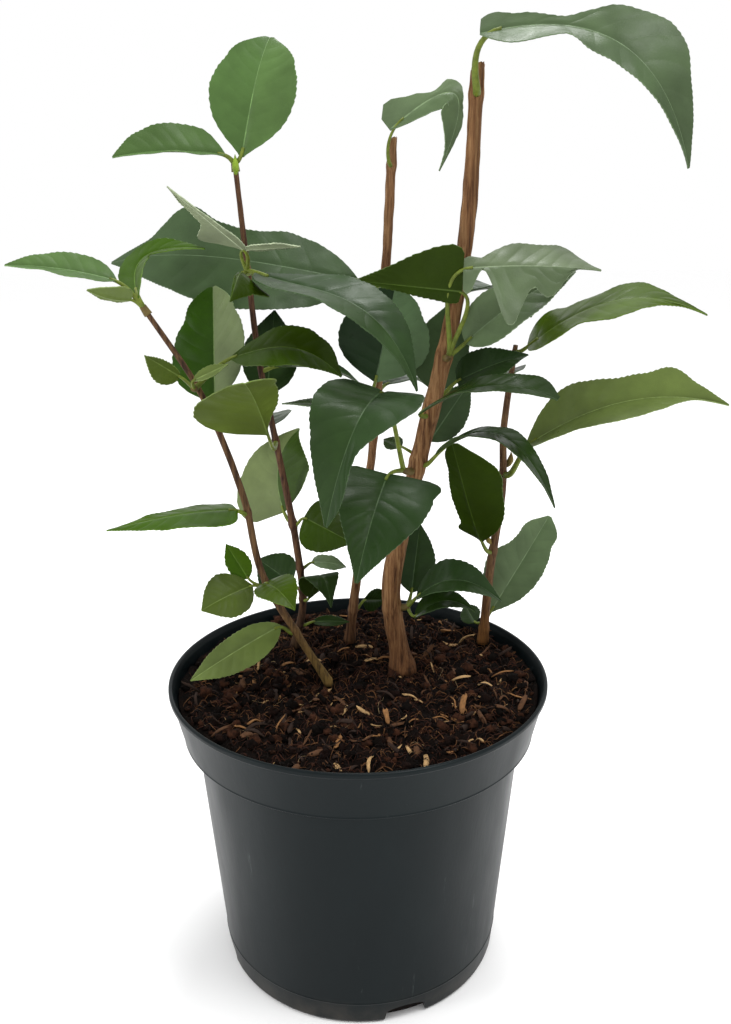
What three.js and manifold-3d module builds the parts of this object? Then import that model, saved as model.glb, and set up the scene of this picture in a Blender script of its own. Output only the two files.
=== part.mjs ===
// A camellia shrub in its nursery pot: five canes, the sprays of leaves on them, the pot and its soil.
// Millimetres, +Z up. The origin is the centre of the pot's flat underside, +X points right and +Y back.
import * as THREE from 'three';
import { mergeVertices } from 'three/addons/utils/BufferGeometryUtils.js';
import Module from 'manifold-3d';

const wasm = await Module();
wasm.setup();

// Pot: a moulded plastic shell with a proud collar, stepped inside as it is outside.
const POT_HEIGHT = 153.5;
const RIM_RADIUS = 95;
const LIP_HEIGHT = 3;
const LIP_PROUD = 1.2;
const COLLAR_BOTTOM_RADIUS = 88.5;
const COLLAR_BOTTOM = 127;
const BODY_TOP_RADIUS = 82.5;
const BODY_BOTTOM_RADIUS = 72;
const FOOT_ROUND = 1.5;
const WALL = 1.8;
const FLOOR = 2.2;
const POT_SIDES = 48;
const NOTCH_WIDTH = 20;
const NOTCH_HEIGHT = 8;
const NOTCH_DEPTH = 14;
const NOTCH_TURNS = [-72, 18, 108, 198];

// Soil: fills the pot, clear of its wall, with a lumpy top that is flat under each cane.
const SOIL_TOP = 147.6;
const SOIL_LUMP = 2.6;
const SOIL_RINGS = 8;
const SOIL_SIDES = 24;
const SOIL_SEED = 7;
const SOIL_LEVEL_FOOT = 10;
const SOIL_LEVEL_EDGE = 12;
const CLEAR = 0.4;
const SPRAY_CLEAR = 0.6;

// Canes: each runs through a few stations [right, back, up] and thins from foot to tip.
const GROUND = 148;
const CANE_SIDES = 8;
const CANE_STEPS = 14;
const FLARE_HEIGHT = 16;
const CANES = {
  left_stem: {
    through: [[-15, -3, 148], [-30, -4, 175], [-46, -6, 208], [-53, -8, 247], [-65, -9, 285],
      [-73, -11, 304], [-91, -13, 334]],
    radius: [2.3, 1.4], flare: 1.3, color: 0x6b4a33,
  },
  tall_stem: {
    through: [[-35, 41, 148], [-30, 38, 173], [-32, 33, 209], [-39, 25, 260], [-46, 18, 308],
      [-49, 13, 349], [-52, 8, 394]],
    radius: [2.4, 1.4], flare: 1.3, color: 0x5f4336,
  },
  back_cane: {
    through: [[-5, 47, 148], [2, 42, 209], [8, 38, 259], [14, 34, 335], [18, 30, 409]],
    radius: [2.9, 2.5], flare: 1.3, color: 0x8a6a4e,
  },
  main_cane: {
    through: [[23, 12, 148], [17, 10, 193], [21, 9, 220], [30, 8, 261], [45, 8, 328], [51, 9, 370],
      [54, 10, 437]],
    radius: [5.6, 3.5], flare: 1.45, color: 0x86644a,
  },
  right_stem: {
    through: [[69, 45, 148], [71, 40, 192], [75, 34, 238], [74, 30, 271], [76, 24, 302], [77, 22, 314]],
    radius: [2.8, 1.4], flare: 1.3, color: 0x5d4234,
  },
};

// Leaves: half the blade's width along it, as shares of the full half width.
const BLADE_ALONG = [0, 0.03, 0.08, 0.16, 0.28, 0.42, 0.6, 0.76, 0.88, 0.95, 1];
const BLADE_WIDE = [0.05, 0.28, 0.52, 0.77, 0.94, 1, 0.9, 0.64, 0.34, 0.15, 0.03];
const BLADE_LEAST_REACH = 0.3;
const BLADE_THICK = 0.95;
const BLADE_THICK_SHARE = 1 / 92;
const SMALL_LEAF = 36;
const SMALL_LEAF_STEPS = 6;
const LEAF_STEPS = 9;
const LOBED_LEAF_STEPS = 12;
const STALK_RADIUS = 1.15;
const STALK_SMALL_RADIUS = 0.9;
const STALK_SIDES = 5;
const STALK_STEPS = 4;
const STALK_INTO_BLADE = 0.07;
const SPUR_RADIUS = 1.7;
const SPUR_STEPS = 2;
const SPUR_INTO_STALK = 1.2;

// Sprays: each leaves its cane at the height given, or at the tip, and holds one leaf or several on a spur.
// A spur is [turn, rise, length]. A leaf's foot is how far its blade starts from the cane, [right, back, up].
// Way is the blade's [turn, rise] from foot to point, size its [length, width], roll its tilt about it,
// bow how far it arches near its foot and near its point, and sway how far it bends sideways there. Fold is
// how far its halves lift from the midrib and tilt how far it turns about it, both at its foot and its point.
// Halves are the widths of its left and right half, skew is below 1 where a half is widest near the foot, and
// a lobe [side, middle, span, swell] moves the left margin (-1) or the right one (1) out or in.
const SPRAYS = {
  left_top: {
    cane: 'left_stem', at: 'tip', spur: [190, 60, 3],
    leaves: [
      { foot: [-11, -4, 14], way: [-170, 9], size: [46, 20], roll: -27, bow: [0.06, 0.06], fold: [18, 18] },
      { foot: [-3, -2, 7], way: [28, 32], size: [37, 19], roll: 11, bow: [0.1, 0.1], fold: [10, 10],
        sway: [-1, -0.85], halves: [1, 0.8] },
      { foot: [-6, -3, 6], way: [-142, 15], size: [20, 14], roll: 32, bow: [-0.1, -0.1], fold: [0, 0],
        halves: [1.5, 0.4] },
    ],
  },
  left_knot: {
    cane: 'left_stem', at: 301, spur: [-100, 20, 3],
    leaves: [
      { foot: [-6, -5, 5], way: [-130, 32], size: [22, 15], roll: -103, bow: [0, 0], fold: [0, 0],
        halves: [1, 0.4] },
      { foot: [0, -8, 4], way: [12, 23], size: [17, 7], roll: 37, bow: [0, 0], fold: [10, 10] },
      { foot: [15, 4, 12], way: [-11, -8], size: [52, 26], roll: 36, bow: [0.2, 0.45], fold: [5, 5],
        skew: [1.3, 1.2], lobes: [[-1, 0.88, 0.16, 3]] },
    ],
  },
  left_upright: {
    cane: 'left_stem', at: 289,
    leaves: [{ foot: [1, 9, 3], way: [95, 59], size: [58, 43], roll: -30, bow: [0, 0], fold: [14, 14],
      lobes: [[-1, 0.9, 0.2, 4], [1, 0.9, 0.2, 3]] }],
  },
  left_long: {
    cane: 'left_stem', at: 240,
    leaves: [{ foot: [-4, -5, 3], way: [-164, -4], size: [60, 21], roll: -5, bow: [0.06, 0.03],
      fold: [-6, -6], skew: [0.6, 0.5], halves: [1.5, 1.2] }],
  },
  left_low: {
    cane: 'left_stem', at: 203, spur: [-100, 20, 3],
    leaves: [
      { foot: [-8, -6, 5], way: [148, 50], size: [20, 12], roll: -52, bow: [0, 0], fold: [6, 6] },
      { foot: [-6, -7, 2], way: [-145, -13], size: [28, 24], roll: -40, bow: [0.1, 0.1], fold: [4, 4],
        skew: [1.2, 1.2] },
      { foot: [1, -11, 5], way: [-60, -5], size: [31, 20], roll: 18, bow: [0.1, 0.2], fold: [8, 8] },
    ],
  },
  left_foot: {
    cane: 'left_stem', at: 177,
    leaves: [{ foot: [-7, -2, 4], way: [-161, -26], size: [51, 22], roll: -46, bow: [0.06, 0.06],
      fold: [6, 6], halves: [1, 0.75] }],
  },
  tall_top: {
    cane: 'tall_stem', at: 'tip', spur: [120, 70, 3],
    leaves: [
      { foot: [3, -1, 5], way: [56, 66], size: [55, 40], roll: 25, bow: [0.06, 0.16], fold: [4, 4],
        skew: [1.3, 1.3], lobes: [[-1, 0.9, 0.22, 3], [1, 0.9, 0.22, 3]] },
      { foot: [-4, -2, 6], way: [-164, -2], size: [48, 27], roll: -36, bow: [0.05, 0.08],
        fold: [30, 30], skew: [1.1, 1.1] },
    ],
  },
  tall_knot: {
    cane: 'tall_stem', at: 350, spur: [-90, 15, 4],
    leaves: [
      { foot: [1, -9, 9], way: [-131, 33], size: [50, 9], roll: 6, bow: [0, 0], fold: [10, -35],
        lobes: [[1, 0.26, 0.28, 13]] },
      { foot: [-1, -9, 10], way: [-22, 3], size: [29, 6], roll: -32, bow: [0, 0], fold: [10, 10] },
      { foot: [-1, -12, 0], way: [-99, -27], size: [24, 24], roll: -19, bow: [0.3, 0.3],
        fold: [-25, -25], halves: [1, 0.15], lobes: [[-1, 0.35, 0.35, 5]] },
      { foot: [5, -10, 0], way: [-35, -28], size: [97, 32], roll: 12, bow: [0.08, 0.36], fold: [8, 8],
        skew: [1.3, 0.9] },
    ],
  },
  tall_upright: {
    cane: 'tall_stem', at: 286,
    leaves: [{ foot: [-1, 7, 4], way: [74, 70], size: [42, 28], roll: 16, bow: [0, 0], fold: [6, 6] }],
  },
  tall_cupped: {
    cane: 'tall_stem', at: 267,
    leaves: [{ foot: [0, -37, 12], way: [-98, 40], size: [46, 62], roll: 12, bow: [0.1, 0.1],
      fold: [8, 8], skew: [2, 0.75], halves: [0.36, 1], lobes: [[-1, 0.9, 0.2, 5]] }],
  },
  tall_round: {
    cane: 'tall_stem', at: 222,
    leaves: [{ foot: [-5, 6, 4], way: [70, 60], size: [46, 46], roll: -20, bow: [0.1, 0.2],
      fold: [6, 6], sway: [-0.15, -0.15], halves: [1.25, 1.1], skew: [0.6, 1] }],
  },
  tall_inner: {
    cane: 'tall_stem', at: 221,
    leaves: [{ foot: [6, -3, 5], way: [-27, -19], size: [30, 28], roll: 70, bow: [0, 0], fold: [6, 6],
      skew: [0.8, 0.8] }],
  },
  tall_low_left: {
    cane: 'tall_stem', at: 182,
    leaves: [{ foot: [-6, 4, 3], way: [149, 23], size: [24, 24], roll: -44, bow: [0, 0], fold: [4, 4] }],
  },
  tall_low_right: {
    cane: 'tall_stem', at: 195,
    leaves: [{ foot: [6, 2, 3], way: [18, -15], size: [20, 12], roll: 24, bow: [0.1, 0.1], fold: [4, 4] }],
  },
  tall_low_front: {
    cane: 'tall_stem', at: 177,
    leaves: [{ foot: [4, -6, 3], way: [-56, 5], size: [22, 22], roll: -5, bow: [0.8, 1], fold: [0, 0] }],
  },
  tall_foot: {
    cane: 'tall_stem', at: 161,
    leaves: [{ foot: [7, -1, 2], way: [0, -1], size: [20, 7], roll: 35, bow: [0.05, 0.05], fold: [6, 6] }],
  },
  back_top: {
    cane: 'back_cane', at: 396,
    leaves: [{ foot: [-1, -6, 15], way: [-4, -38], size: [29, 17], roll: 0, bow: [1.4, 1.3],
      fold: [0, 0], tilt: [-55, -50], skew: [0.65, 0.9], halves: [1, 0.9],
      lobes: [[-1, 0.03, 0.13, 8], [-1, 0.27, 0.14, -5], [-1, 0.6, 0.2, -4], [1, 0.74, 0.2, 5]] }],
  },
  back_broad: {
    cane: 'back_cane', at: 340,
    leaves: [{ foot: [-13, 17, 3], way: [175, 4], size: [126, 50], roll: -58, bow: [0.08, 0.2],
      fold: [0, 0], skew: [1.05, 1], halves: [1, 0.82],
      lobes: [[1, 0.7, 0.16, 12], [1, 0.43, 0.16, -4], [-1, 0.5, 0.3, 2]] }],
  },
  back_middle: {
    cane: 'back_cane', at: 288, spur: [-130, 15, 3],
    leaves: [
      { foot: [-1, -9, 8], way: [-52, 72], size: [50, 45], roll: 138, bow: [0, 0], fold: [8, 8],
        skew: [1.15, 1.15], lobes: [[-1, 0.9, 0.16, 3], [1, 0.9, 0.16, 3]] },
      { foot: [-11, -4, -3], way: [-155, 4], size: [39, 8], roll: -22, bow: [0, 0], fold: [0, 0] },
    ],
  },
  back_foot: {
    cane: 'back_cane', at: 167,
    leaves: [{ foot: [6, 4, 4], way: [56, -19], size: [24, 14], roll: 99, bow: [0, 0], fold: [4, 4] }],
  },
  main_top: {
    cane: 'main_cane', at: 424,
    leaves: [{ foot: [0, -8, 22.5], way: [-22, -32], size: [104, 38], roll: 23, bow: [0.26, 0.36],
      fold: [8, 8], sway: [-0.12, 0], tilt: [-25, -20], skew: [1.3, 0.8], halves: [0.95, 0.65],
      lobes: [[-1, 0.02, 0.1, 8], [-1, 0.28, 0.2, -10], [-1, 0.6, 0.13, 5],
        [-1, 0.7, 0.1, 3], [1, 0.12, 0.12, 3], [1, 0.33, 0.12, -5]] }],
  },
  main_crown: {
    cane: 'main_cane', at: 311, spur: [-80, 55, 6],
    leaves: [
      { foot: [6, -17, 31], way: [180, 6], size: [47, 40], roll: 78, bow: [0, 0], fold: [0, 0],
        skew: [0.45, 0.4], halves: [1, 0.3] },
      { foot: [6, -20, 41], way: [-5, -1], size: [59, 34], roll: 45, bow: [0.05, 0.05], fold: [0, -30],
        skew: [1.5, 1], halves: [1, 0.1],
        lobes: [[-1, 0.03, 0.12, 5], [-1, 0.78, 0.25, 7], [1, 0.03, 0.12, 14], [1, 0.34, 0.21, 27],
          [1, 0.62, 0.22, 12]] },
      { foot: [9, -7, 7], way: [0, 33], size: [58, 30], roll: 38, bow: [0.1, 0.1], fold: [6, 6],
        skew: [0.8, 0.9] },
    ],
  },
  main_shade: {
    cane: 'main_cane', at: 283,
    leaves: [{ foot: [-6, -11, 3], way: [-33, 11], size: [69, 21], roll: 12, bow: [0.15, 0.22],
      fold: [8, 8], skew: [1.5, 1.5], lobes: [[-1, 0.88, 0.2, 6]] }],
  },
  main_behind: {
    cane: 'main_cane', at: 289, spur: [60, 20, 4],
    leaves: [
      { foot: [2, 15, 3], way: [62, 71], size: [42, 29], roll: 31, bow: [0, 0], fold: [6, 6] },
      { foot: [12, 8, 9], way: [-14, 22], size: [36, 20], roll: 58, bow: [0.08, 0.12], fold: [14, 14],
        skew: [0.75, 0.75] },
    ],
  },
  main_arch: {
    cane: 'main_cane', at: 260,
    leaves: [{ foot: [8, -8, 6], way: [-29, -17], size: [62, 24], roll: 0, bow: [0.55, 0.38],
      fold: [6, 6], sway: [0.04, 0.04] }],
  },
  main_hidden: {
    cane: 'main_cane', at: 261, spur: [92, 20, 4],
    leaves: [
      { foot: [6, 10, 7], way: [16, 54], size: [35, 20], roll: 66, bow: [0, 0], fold: [6, 6] },
      { foot: [-8, 8, 5], way: [117, 0], size: [18, 9], roll: -36, bow: [0, 0], fold: [4, 4] },
    ],
  },
  main_front: {
    cane: 'main_cane', at: 256, spur: [-125, 35, 8],
    leaves: [
      { foot: [-16, -36, 45], way: [-123, -47], size: [67, 46], roll: -11, bow: [0.55, 0.6],
        fold: [10, 10], skew: [0.8, 0.8], sway: [-0.15, -0.15], halves: [1, 0.95],
        lobes: [[-1, 0.64, 0.32, -11]] },
      { foot: [-14, -18, 3], way: [-109, -39], size: [59, 50], roll: -23, bow: [0.1, 0.15],
        fold: [6, 6], tilt: [-10, -10], skew: [0.65, 0.5], sway: [0.03, 0.03], halves: [1, 0.85],
        lobes: [[-1, 0.03, 0.2, 7]] },
    ],
  },
  main_low: {
    cane: 'main_cane', at: 183, spur: [-10, 20, 3],
    leaves: [
      { foot: [12, -4, 7], way: [-17, 4], size: [43, 22], roll: 30, bow: [0.4, 0.55], fold: [20, 20] },
      { foot: [10, 5, 6], way: [75, 57], size: [37, 22], roll: 24, bow: [0, 0], fold: [6, 6] },
      { foot: [11, -6, -3], way: [-13, 11], size: [31, 16], roll: 21, bow: [0.3, 0.5], fold: [15, 15] },
    ],
  },
  right_top: {
    cane: 'right_stem', at: 311,
    leaves: [{ foot: [5, -6, 3], way: [-18, 12], size: [81, 32], roll: 17, bow: [0.2, 0.28],
      fold: [0, 0], skew: [0.7, 0.7],
      lobes: [[-1, 0.06, 0.22, 16], [-1, 0.68, 0.25, 7], [1, 0.55, 0.22, 8], [1, 0.85, 0.15, -3]] }],
  },
  right_long: {
    cane: 'right_stem', at: 247,
    leaves: [{ foot: [9, -13, 18], way: [-22, 16], size: [95, 36], roll: 41, bow: [0.18, 0.3],
      fold: [30, 30], skew: [1.1, 0.9],
      lobes: [[-1, 0.55, 0.3, -6], [-1, 0.76, 0.12, 3], [1, 0.55, 0.25, 6], [1, 0.85, 0.15, -4]] }],
  },
  right_inner: {
    cane: 'right_stem', at: 203,
    leaves: [{ foot: [-7, -7, 8], way: [-131, 64], size: [64, 38], roll: 11, bow: [-0.05, 0],
      fold: [6, 6], skew: [1.15, 1.15], halves: [1, 0.5],
      lobes: [[-1, 0.8, 0.35, 6], [1, 0.9, 0.2, 3], [1, 0.12, 0.12, 6]] }],
  },
  right_foot: {
    cane: 'right_stem', at: 156, spur: [85, 15, 3],
    leaves: [
      { foot: [4, 7, 6], way: [22, 56], size: [63, 32], roll: 57, bow: [0.05, 0.1], fold: [6, 6],
        skew: [1.3, 1.3], halves: [1.15, 0.85], lobes: [[-1, 0.66, 0.25, -6], [1, 0.9, 0.16, 4]] },
      { foot: [-4, 7, 0], way: [105, 13], size: [18, 12], roll: -32, bow: [0, 0], fold: [4, 4] },
    ],
  },
};

// Single leaves that fill the crown behind the canes: [cane, height, turn, rise, length, width].
const BEHIND = {
  behind_tall_high: ['tall_stem', 303, 8, -14, 44, 24],
  behind_tall_middle: ['tall_stem', 272, 104, -14, 62, 29],
  behind_back_high: ['back_cane', 320, 92, -12, 76, 35],
  behind_back_middle: ['back_cane', 290, 58, -15, 68, 31],
  behind_back_low: ['back_cane', 204, 122, -12, 52, 25],
  behind_main_high: ['main_cane', 338, 56, -14, 76, 35],
  behind_main_low: ['main_cane', 236, 86, -16, 54, 25],
  behind_right_high: ['right_stem', 296, 92, -18, 58, 27],
};
const BEHIND_FOOT = 4;
const BEHIND_BOW = [0.1, 0.16];
const BEHIND_FOLD = [12, 12];

const UP = new THREE.Vector3(0, 0, 1);
const LEAF_COLORS = [0x3f5f45, 0x4a6b3f, 0x35523f, 0x557a3c];

const radians = (degrees) => THREE.MathUtils.degToRad(degrees);

function heading(turn, rise) {
  const level = Math.cos(radians(rise));
  return new THREE.Vector3(
    level * Math.cos(radians(turn)),
    level * Math.sin(radians(turn)),
    Math.sin(radians(rise)),
  );
}

function along(start, direction, distance) {
  return start.clone().addScaledVector(direction, distance);
}

function seededNoise(seed) {
  let state = seed;
  return () => {
    state = (state * 1664525 + 1013904223) % 4294967296;
    return state / 4294967296;
  };
}

// Value at x on the straight lines through the points (xs, ys).
function readOff(xs, ys, x) {
  let i = 1;
  while (i < xs.length - 1 && xs[i] < x) i += 1;
  const share = (x - xs[i - 1]) / (xs[i] - xs[i - 1]);
  return ys[i - 1] + (ys[i] - ys[i - 1]) * THREE.MathUtils.clamp(share, 0, 1);
}

function toSolid(geometry) {
  const bare = geometry.clone();
  bare.deleteAttribute('normal');
  bare.deleteAttribute('uv');
  const merged = mergeVertices(bare, 1e-4);
  const mesh = new wasm.Mesh({
    numProp: 3,
    vertProperties: new Float32Array(merged.attributes.position.array),
    triVerts: new Uint32Array(merged.index.array),
  });
  return new wasm.Manifold(mesh);
}

function toGeometry(solid) {
  const mesh = solid.getMesh();
  const geometry = new THREE.BufferGeometry();
  geometry.setAttribute('position', new THREE.BufferAttribute(new Float32Array(mesh.vertProperties), 3));
  geometry.setIndex(new THREE.BufferAttribute(new Uint32Array(mesh.triVerts), 1));
  geometry.computeVertexNormals();
  return geometry;
}

// Closed skin over rings of points, all with the same count, with a fan at each end.
function skin(rings) {
  const count = rings[0].length;
  const positions = rings.flat().flatMap((p) => [p.x, p.y, p.z]);
  const index = [];
  for (let r = 0; r < rings.length - 1; r += 1) {
    for (let i = 0; i < count; i += 1) {
      const a = r * count + i;
      const b = r * count + ((i + 1) % count);
      index.push(a, b, b + count, a, b + count, a + count);
    }
  }
  const last = (rings.length - 1) * count;
  for (let i = 1; i < count - 1; i += 1) {
    index.push(0, i + 1, i);
    index.push(last, last + i, last + i + 1);
  }
  const geometry = new THREE.BufferGeometry();
  geometry.setAttribute('position', new THREE.BufferAttribute(new Float32Array(positions), 3));
  geometry.setIndex(index);
  return geometry;
}

// Rod of one radius along a curve.
function rod(curve, radius, steps) {
  const outline = [];
  for (let i = 0; i < STALK_SIDES; i += 1) {
    const angle = (2 * Math.PI * i) / STALK_SIDES;
    outline.push(new THREE.Vector2(radius * Math.cos(angle), radius * Math.sin(angle)));
  }
  const shape = new THREE.Shape(outline);
  return new THREE.ExtrudeGeometry(shape, { steps, extrudePath: curve, bevelEnabled: false });
}

// Round limb along a curve whose radius is a function of the share of the way along it.
function limb(curve, radiusAt, sides, steps) {
  const rings = [];
  let across = null;
  for (let s = 0; s <= steps; s += 1) {
    const t = s / steps;
    const centre = curve.getPoint(t);
    const ahead = curve.getTangent(t);
    if (across === null) {
      across = Math.abs(ahead.z) < 0.9 ? UP.clone().cross(ahead) : new THREE.Vector3(1, 0, 0);
    }
    across.addScaledVector(ahead, -across.dot(ahead)).normalize();
    const other = ahead.clone().cross(across);
    const radius = radiusAt(t);
    const ring = [];
    for (let i = 0; i < sides; i += 1) {
      const angle = (2 * Math.PI * i) / sides;
      ring.push(along(along(centre, across, radius * Math.cos(angle)), other, radius * Math.sin(angle)));
    }
    rings.push(ring);
  }
  return skin(rings);
}

function caneCurve(cane) {
  return new THREE.CatmullRomCurve3(cane.through.map((p) => new THREE.Vector3(...p)));
}

function caneRadius(cane, t, height) {
  const [foot, tip] = cane.radius;
  const flare = Math.max(0, 1 - (height - GROUND) / FLARE_HEIGHT);
  return THREE.MathUtils.lerp(foot, tip, t) * (1 + (cane.flare - 1) * flare * flare);
}

// Share of the way along the cane at which it passes a height.
function shareAtHeight(curve, height) {
  let low = 0;
  let high = 1;
  for (let i = 0; i < 30; i += 1) {
    const middle = (low + high) / 2;
    if (curve.getPoint(middle).z < height) low = middle;
    else high = middle;
  }
  return (low + high) / 2;
}

// The cane, cut flat at the ground.
function caneGeometry(cane) {
  const curve = caneCurve(cane);
  const geometry = limb(curve, (t) => caneRadius(cane, t, curve.getPoint(t).z), CANE_SIDES, CANE_STEPS);
  const reach = 60;
  const below = new THREE.BoxGeometry(reach, reach, reach);
  const foot = cane.through[0];
  below.translate(foot[0], foot[1], GROUND + CLEAR - reach / 2);
  return toGeometry(toSolid(geometry).subtract(toSolid(below)));
}

// Midrib of a blade: an arched curve from foot to point with a frame that rolls and tilts along it.
function bladeFrame(leaf, foot) {
  const [length] = leaf.size;
  const ahead = heading(...leaf.way);
  const face = UP.clone().addScaledVector(ahead, -ahead.z).normalize();
  const side = ahead.clone().cross(face);
  const lift = face.clone().multiplyScalar(Math.cos(radians(leaf.roll)));
  lift.addScaledVector(side, Math.sin(radians(leaf.roll)));
  const across = ahead.clone().cross(lift);
  const sway = leaf.sway ?? [0, 0];
  const handle = (share, end) => {
    const point = along(foot, ahead, length * share);
    return along(along(point, lift, leaf.bow[end] * length), across, sway[end] * length);
  };
  const curve = new THREE.CubicBezierCurve3(
    foot,
    handle(1 / 3, 0),
    handle(2 / 3, 1),
    along(foot, ahead, length),
  );
  const at = (t) => {
    const tangent = curve.getTangent(t);
    const flat = across.clone().addScaledVector(tangent, -across.dot(tangent)).normalize();
    const normal = flat.clone().cross(tangent);
    const turn = radians(THREE.MathUtils.lerp(...(leaf.tilt ?? [0, 0]), t));
    const wide = flat.clone().multiplyScalar(Math.cos(turn)).addScaledVector(normal, Math.sin(turn));
    const top = normal.clone().multiplyScalar(Math.cos(turn)).addScaledVector(flat, -Math.sin(turn));
    return { centre: curve.getPoint(t), wide, top };
  };
  return { curve, at };
}

// Reach of the blade from its midrib to its left margin, side -1, or its right one, side 1.
function bladeReach(leaf, t, side) {
  const end = side < 0 ? 0 : 1;
  const half = (leaf.halves ?? [1, 1])[end];
  const skew = (leaf.skew ?? [1, 1])[end];
  let reach = (readOff(BLADE_ALONG, BLADE_WIDE, t ** skew) * leaf.size[1] * half) / 2;
  for (const [lobeSide, middle, span, swell] of leaf.lobes ?? []) {
    const away = Math.min(1, Math.abs(t - middle) / span);
    if (lobeSide === side) reach += (swell * (1 + Math.cos(Math.PI * away))) / 2;
  }
  return Math.max(reach, BLADE_LEAST_REACH);
}

// Point of the blade at share t along it and v across it, from -1 at its left margin to 1 at its right.
function bladePoint(leaf, frame, t, v) {
  const out = v * bladeReach(leaf, t, v < 0 ? -1 : 1);
  const fold = radians(THREE.MathUtils.lerp(...leaf.fold, t));
  const point = along(frame.centre, frame.wide, out * Math.cos(fold));
  return along(point, frame.top, Math.abs(out) * Math.sin(fold));
}

// A blade as a thin closed solid with one flat strip each side of its midrib.
function bladeSolid(leaf, foot) {
  const [length] = leaf.size;
  const plainSteps = length < SMALL_LEAF ? SMALL_LEAF_STEPS : LEAF_STEPS;
  const steps = leaf.lobes ? LOBED_LEAF_STEPS : plainSteps;
  const half = Math.max(BLADE_THICK, length * BLADE_THICK_SHARE) / 2;
  const { at } = bladeFrame(leaf, foot);
  const rings = [];
  for (let s = 0; s <= steps; s += 1) {
    const t = s / steps;
    const frame = at(t);
    const middle = [-1, 0, 1].map((v) => bladePoint(leaf, frame, t, v));
    const above = middle.map((p) => along(p, frame.top, half));
    const below = middle.map((p) => along(p, frame.top, -half)).reverse();
    rings.push([...above, ...below]);
  }
  return toSolid(skin(rings));
}

function stalkRadius(leaf) {
  return leaf.size[0] < SMALL_LEAF ? STALK_SMALL_RADIUS : STALK_RADIUS;
}

// Stalk from a start, set off in a direction, into the foot of the blade.
function stalkSolid(leaf, start, direction, foot) {
  const { curve } = bladeFrame(leaf, foot);
  const end = curve.getPoint(STALK_INTO_BLADE);
  const handle = start.distanceTo(foot) / 3;
  const path = new THREE.CubicBezierCurve3(
    start,
    along(start, direction, handle),
    along(foot, curve.getTangent(0), -handle),
    end,
  );
  return toSolid(rod(path, stalkRadius(leaf), STALK_STEPS));
}

// Where a spray leaves its cane: just clear of the bark, square to the cane, or just past its tip.
function sprayRoot(spray, toward) {
  const cane = CANES[spray.cane];
  const curve = caneCurve(cane);
  if (spray.at === 'tip') {
    const tip = curve.getPoint(1);
    const ahead = curve.getTangent(1);
    return { centre: tip, start: along(tip, ahead, CLEAR), direction: ahead };
  }
  const t = shareAtHeight(curve, spray.at);
  const centre = curve.getPoint(t);
  const ahead = curve.getTangent(t);
  const direction = toward.clone().addScaledVector(ahead, -toward.dot(ahead)).normalize();
  const start = along(centre, direction, caneRadius(cane, t, centre.z) + SPRAY_CLEAR);
  return { centre, start, direction };
}

// A spray is one body: its spur, if it has one, its leaves and their stalks.
function sprayGeometry(spray) {
  const first = new THREE.Vector3(...spray.leaves[0].foot);
  const toward = spray.spur ? heading(spray.spur[0], 0) : first.setZ(0).normalize();
  const { centre, start, direction } = sprayRoot(spray, toward);
  let solid = null;
  let origin = start;
  let setOff = direction;
  if (spray.spur) {
    const [turn, rise, length] = spray.spur;
    const path = new THREE.QuadraticBezierCurve3(
      start,
      along(start, direction, length / 2),
      along(along(start, direction, length / 2), heading(turn, rise), length / 2),
    );
    solid = toSolid(rod(path, SPUR_RADIUS, SPUR_STEPS));
    setOff = path.getTangent(1);
    origin = along(path.getPoint(1), setOff, -SPUR_INTO_STALK);
  }
  for (const leaf of spray.leaves) {
    const foot = centre.clone().add(new THREE.Vector3(...leaf.foot));
    const leafSetOff = spray.spur ? foot.clone().sub(origin).normalize() : setOff;
    const stalk = stalkSolid(leaf, origin, leafSetOff, foot);
    const whole = stalk.add(bladeSolid(leaf, foot));
    solid = solid === null ? whole : solid.add(whole);
  }
  return toGeometry(solid);
}

// The spray of one row of the leaves behind: its blade starts a little way out along its own turn.
function behindSpray([cane, at, turn, rise, length, width]) {
  const out = heading(turn, 0).multiplyScalar(CANES[cane].radius[0] + BEHIND_FOOT);
  const foot = [out.x, out.y, BEHIND_FOOT / 2];
  const size = [length, width];
  const leaf = { foot, way: [turn, rise], size, roll: 0, bow: BEHIND_BOW, fold: BEHIND_FOLD };
  return { cane, at, leaves: [leaf] };
}

function potProfile() {
  const inside = (radius) => radius - WALL;
  return [
    [0, 0],
    [BODY_BOTTOM_RADIUS - FOOT_ROUND, 0],
    [BODY_BOTTOM_RADIUS, FOOT_ROUND],
    [BODY_TOP_RADIUS, COLLAR_BOTTOM],
    [COLLAR_BOTTOM_RADIUS, COLLAR_BOTTOM],
    [RIM_RADIUS - LIP_PROUD, POT_HEIGHT - LIP_HEIGHT],
    [RIM_RADIUS, POT_HEIGHT - LIP_HEIGHT + 0.6],
    [RIM_RADIUS, POT_HEIGHT - 0.6],
    [RIM_RADIUS - 0.6, POT_HEIGHT],
    [inside(RIM_RADIUS), POT_HEIGHT],
    [inside(RIM_RADIUS - LIP_PROUD), POT_HEIGHT - LIP_HEIGHT],
    [inside(COLLAR_BOTTOM_RADIUS), COLLAR_BOTTOM + WALL],
    [inside(BODY_TOP_RADIUS), COLLAR_BOTTOM + WALL],
    [inside(BODY_BOTTOM_RADIUS), FLOOR],
    [0, FLOOR],
  ];
}

// Lathe about +Z from a profile of [radius, height] that starts and ends on the axis.
function lathe(profile, sides) {
  const geometry = new THREE.LatheGeometry(profile.map(([r, z]) => new THREE.Vector2(r, z)), sides);
  geometry.rotateX(Math.PI / 2);
  return geometry;
}

function potGeometry() {
  let pot = toSolid(lathe(potProfile(), POT_SIDES));
  for (const turn of NOTCH_TURNS) pot = pot.subtract(notchBlock(turn, 0));
  return toGeometry(pot);
}

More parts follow.
